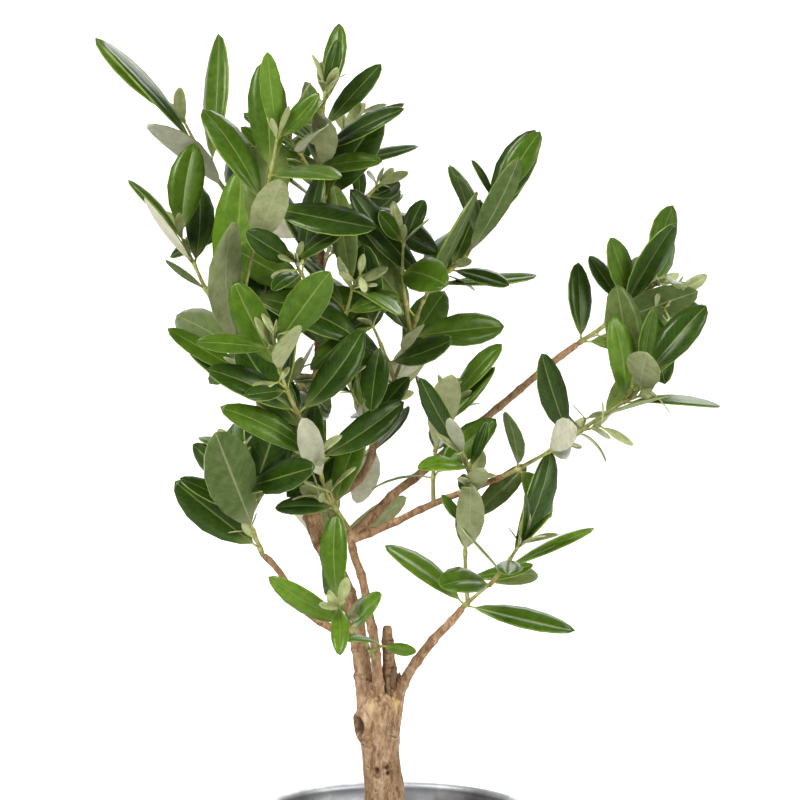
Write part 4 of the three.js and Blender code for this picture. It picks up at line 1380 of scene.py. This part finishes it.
potRow = {
    "rimRadius": 71.5,
    "footRadius": 53,
    "wall": 1.2,
    "floor": 2,
    "floorRadius": 30,  # of the innermost ring of the floor and the underside
    "footBend": ((3, 0), (1.2, 0.25), (0.3, 0.8)),  # how far inside the foot's radius, and at what height
    "beadRadius": 2.5,
    "beadArc": (-75, 215),  # degrees round the rolled rim, from outside over the top
    "beadSteps": 22,
    "wallFrom": 1.5,
    "wallSteps": (90, 40),  # outside and inside
    "ribs": (34, 98),  # heights of the shallow beads round the wall
    "ribSize": (0.7, 2.2),  # how far they stand out, and how wide they are
    "darkeningDepth": 30,  # how far down the inside is darkened
    "darkeningScale": 0.12,
    "darkeningFrom": (1, 5),  # it starts so far under the rim's middle, and is full after so much more
    "rimGap": (3.2, 4),  # from the rim's middle to the wall's last ring, outside and inside
    "around": 160,
}
zincRow = {
    "name": "galvanisedZinc",
    "roughness": 0.5,
    "metallic": 0.45,
    "specular": 0.5,
    "mottleScale": 70,
    "tones": [(0.32, (0.49, 0.505, 0.525)), (0.5, (0.57, 0.59, 0.615)), (0.7, (0.66, 0.68, 0.70))],
    "layers": [
        overlay("spangle", (0.1, 0.9), 0.6, (0.38, 0.40, 0.43), scale=120),
        overlay("cells", (0.13, 0.06), 0.55, (0.22, 0.21, 0.22), scale=330),
        # where the tone is set the zinc goes dark: the inside of the pot, lower down and to the right
        overlay("tone", (0.1, 1), 0.9, (0.16, 0.13, 0.145)),
    ],
    "grainScale": 420,
    "bump": 0.25,
    "bumpDepth": 0.2,
}
soilRow = {
    "name": "pottingSoil",
    "roughness": 0.95,
    "specular": 0.1,
    "mottleScale": 240,
    "tones": [(0.3, (0.018, 0.010, 0.006)), (0.5, (0.05, 0.03, 0.018)), (0.72, (0.12, 0.075, 0.045))],
    "grainScale": 600,
    "bump": 0.8,
    "bumpDepth": 0.6,
}
soilShape = {
    "around": 128,
    "rings": 56,
    "middle": 0.04,  # share of the radius where the innermost ring stands
    "below": 1.3,  # how far the middle of the soil lies under its full depth
    "lump": 1.1,
    "lumpScale": 0.16,
    "slopeFrom": 0.35,  # share of the radius past which the soil falls towards the wall
    "slopeDrop": 3,
    "edgeDrop": 3.3,  # the soil's radius is the pot's so far under the soil's full depth
    "atLeast": 4,  # no lump is nearer the rim's top
    "gap": (0.5, 0.3),  # from the wall, and from the floor
}
crumbRow = {
    "count": 900,
    "size": (0.8, 2.8),
    "sizeShare": (0.5, 1),
    "deep": (0.6, 1),  # depth and height of a crumb, as shares of its width
    "tall": (0.45, 0.9),
    "within": (0.03, 0.96),  # share of the soil's area
    "levels": (-0.6, 0, 0.6),  # of the rings of a crumb
    "around": 6,
    "bent": 0.28,
    "seed": 5,
}


def wallRadius(height, full):
    # the wall leans evenly from the foot's radius to the rim's over the full height
    row = potRow
    return row["footRadius"] + (row["rimRadius"] - row["beadRadius"] - row["footRadius"]) * height / full


def ringsAt(radius, height, angle):
    # a ring of points for each radius and height
    wide = np.reshape(radius, (-1, 1))
    level = np.repeat(np.reshape(height, (-1, 1)), len(angle), axis=1)
    return np.stack([wide * np.cos(angle), wide * np.sin(angle), level], axis=-1)


def makePot():
    # a profile turned about the pot's axis: foot, leaning wall with two shallow beads, rolled rim, inner wall
    # and floor
    row = potRow
    top = potHeight - row["beadRadius"]
    height = np.linspace(row["wallFrom"], top - row["rimGap"][0], row["wallSteps"][0])
    wall = wallRadius(height, top)
    out, wide = row["ribSize"]
    for level in row["ribs"]:
        wall = wall + out * bell(height - level, wide)
    turn = np.linspace(*row["beadArc"], row["beadSteps"]) * rad
    bead = [wallRadius(top, top) + row["beadRadius"] * np.cos(turn), top + row["beadRadius"] * np.sin(turn)]
    inner = np.linspace(top - row["rimGap"][1], row["floor"], row["wallSteps"][1])
    innerWall = wallRadius(inner, top) - row["wall"]
    foot = [[row["footRadius"] - short, level] for short, level in row["footBend"]]
    outer = [np.stack([wall, height], axis=-1), np.stack(bead, axis=-1)]
    outside = np.concatenate([[[row["floorRadius"], 0]], foot, *outer])
    inside = np.concatenate([np.stack([innerWall, inner], axis=-1), [[row["floorRadius"], row["floor"]]]])
    profile = np.concatenate([outside, inside])
    angle = anglesOf(row["around"])
    rings = ringsAt(profile[:, 0], profile[:, 1], angle)
    quads, fans = ringFaces(len(profile), len(angle))
    points = np.concatenate([rings.reshape(-1, 3), [[0, 0, 0], [0, 0, row["floor"]]]])
    # the wall inside is darkened, most to the right and low down
    onInside = np.repeat(np.arange(len(profile)) >= len(outside), len(angle))
    isInside = np.concatenate([onInside, [False, False]])
    start, full = row["darkeningFrom"]
    depth = np.clip((top - start - points[:, 2]) / full, 0, 1)
    innerDarkening = depth * np.clip(0.45 + points[:, 0] / 60, 0.1, 1) * isInside
    innerDarkening = innerDarkening * (0.8 + 0.5 * fractalNoise(points * row["darkeningScale"], noiseSeeds["innerDarkening"], 3))
    innerDarkening = np.clip(innerDarkening * (points[:, 2] > top - row["darkeningDepth"]), 0, 1)
    store = newStore()
    addFaces(store, points, [quads[:, ::-1], fans[:, ::-1]], [0, 0], innerDarkening)
    return makeObject("potShell", store, [makeMaterial(zincRow)])


def soilHeight(x, y, share):
    # the soil is lumpy, and from a share of the way out it falls towards the wall
    shape = soilShape
    place = np.stack([x * shape["lumpScale"], y * shape["lumpScale"], 0 * x], axis=-1)
    lumps = fractalNoise(place, noiseSeeds["soil"], 4)
    slope = np.clip((share - shape["slopeFrom"]) / (1 - shape["slopeFrom"]), 0, 1)
    return potHeight - soilDepth - shape["below"] - shape["slopeDrop"] * slope + shape["lump"] * lumps


def soilRadius(height):
    # how far the soil reaches at a height: a gap short of the pot's inner wall
    return wallRadius(height, potHeight) - potRow["wall"] - soilShape["gap"][0]


def makeSoil():
    # a closed disc whose top is lumpy, with crumbs lying on it
    shape = soilShape
    angle = anglesOf(shape["around"])
    reach = np.linspace(shape["middle"], 1, shape["rings"])[:, None]
    outer = soilRadius(potHeight - soilDepth - shape["edgeDrop"])
    x, y = reach * outer * np.cos(angle), reach * outer * np.sin(angle)
    upper = np.stack([x, y, np.minimum(soilHeight(x, y, reach), potHeight - shape["atLeast"])], axis=-1)
    base = potRow["floor"] + shape["gap"][1]
    store = newStore()
    addTube(store, np.concatenate([upper, ringsAt(soilRadius(base), base, angle)]), 0)
    addCrumbs(store, outer)
    return makeObject("soilBed", store, [makeMaterial(soilRow)])


def addCrumbs(store, outer):
    # each crumb is a bent ball of three rings, flattened by its own random shares
    row = crumbRow
    chance = np.random.default_rng(row["seed"])
    count = row["count"]
    place = np.sqrt(chance.uniform(*row["within"], count)) * outer
    turn = chance.uniform(0, 2 * np.pi, count)
    size = chance.uniform(*row["size"], count) * chance.uniform(*row["sizeShare"], count)
    x, y = place * np.cos(turn), place * np.sin(turn)
    centre = np.stack([x, y, soilHeight(x, y, place / outer)], axis=-1)
    level = np.array(row["levels"])
    ball = ringsAt(np.sqrt(1 - level**2), level, anglesOf(row["around"])).reshape(-1, 3)
    ball = np.concatenate([ball, [[0, 0, -1], [0, 0, 1]]])
    shapes = ball[None] * (1 + chance.uniform(-row["bent"], row["bent"], (count, len(ball), 3)))
    deep, tall = chance.uniform(*row["deep"], count), chance.uniform(*row["tall"], count)
    flatten = np.stack([np.ones(count), deep, tall], axis=-1)
    crumbs = centre[:, None] + shapes * (size[:, None] * 0.5 * flatten)[:, None]
    faces = [repeatFaces(group[:, ::-1], count, len(ball)) for group in ringFaces(len(level), row["around"])]
    addFaces(store, crumbs, faces, [0, 0])


def makeStage():
    # a pale sweep: floor, quarter round and wall, as one curved sheet
    row = stageRow
    turn = np.linspace(0, np.pi / 2, row["steps"])
    bendY = row["floorDepth"] + row["bend"] * np.sin(turn)
    bendZ = row["bend"] * (1 - np.cos(turn))
    y = np.concatenate([[row["front"]], bendY, [bendY[-1]]])
    z = np.concatenate([[0], bendZ, [row["wallHeight"]]])
    x = np.array([-row["width"], row["width"]])
    across = np.repeat(x[None], len(y), axis=0)
    grid = np.stack([across, np.repeat(y[:, None], 2, axis=1), np.repeat(z[:, None], 2, axis=1)], axis=-1)
    rows = np.arange(len(y) - 1)
    quads = np.stack([rows * 2, rows * 2 + 1, rows * 2 + 3, rows * 2 + 2], axis=-1)
    store = newStore()
    addFaces(store, grid / mm, [quads], [0])
    material = bpy.data.materials.new("paleStage")
    material.use_nodes = True
    shader = material.node_tree.nodes["Principled BSDF"]
    shader.inputs["Base Color"].default_value = (row["shade"], row["shade"], row["shade"], 1)
    shader.inputs["Roughness"].default_value = 0.9
    shader.inputs["Specular IOR Level"].default_value = 0.1
    shader.inputs["Emission Color"].default_value = (1, 1, 1, 1)
    shader.inputs["Emission Strength"].default_value = row["glow"]
    makeObject("paleStage", store, [material])


def dress(piece, slot, *nodes):
    # the piece rides on the one body, and takes the place of the nodes
    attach(piece, "root")
    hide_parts(*nodes)


makeCamera(cameraRow)
makeSky(skyRow)
makeLamps(lampRows)
makeStage()
print("stage and light ready")

limbs, masses = growTree()
allLeaves = [leaf for mass in masses.values() for shoot in mass["shoots"] for leaf in shoot["leaves"]]
print("grown", len(masses), "masses with", len(allLeaves), "leaves")

cores = limbCores(limbs)
dress(makeTrunk(cores), "trunk_bark", "trunk")
dress(makeBoughs(limbs, cores), "bough_bark", *boughs)
print("bark ready")

spurs, youngLeaves = growYoung(masses, limbs, youngSeed)
print("grown", len(spurs), "spurs and", len(youngLeaves), "young leaves")
sprays = [name for name, mass in masses.items() for shoot in mass["shoots"] for leaf in shoot["leaves"]]
leaves = buildLeaves(allLeaves + youngLeaves, sprays, "leaves", leafSeed)
dress(leaves, "foliage", *[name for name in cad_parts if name.startswith("foliage_")])
twigs = makeTwigs(masses, spurs)
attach(twigs, "root")
print("twigs and leaves ready")

dress(makePot(), "pot_metal", "pot")
dress(makeSoil(), "soil", "soil")
print("pot and soil ready")
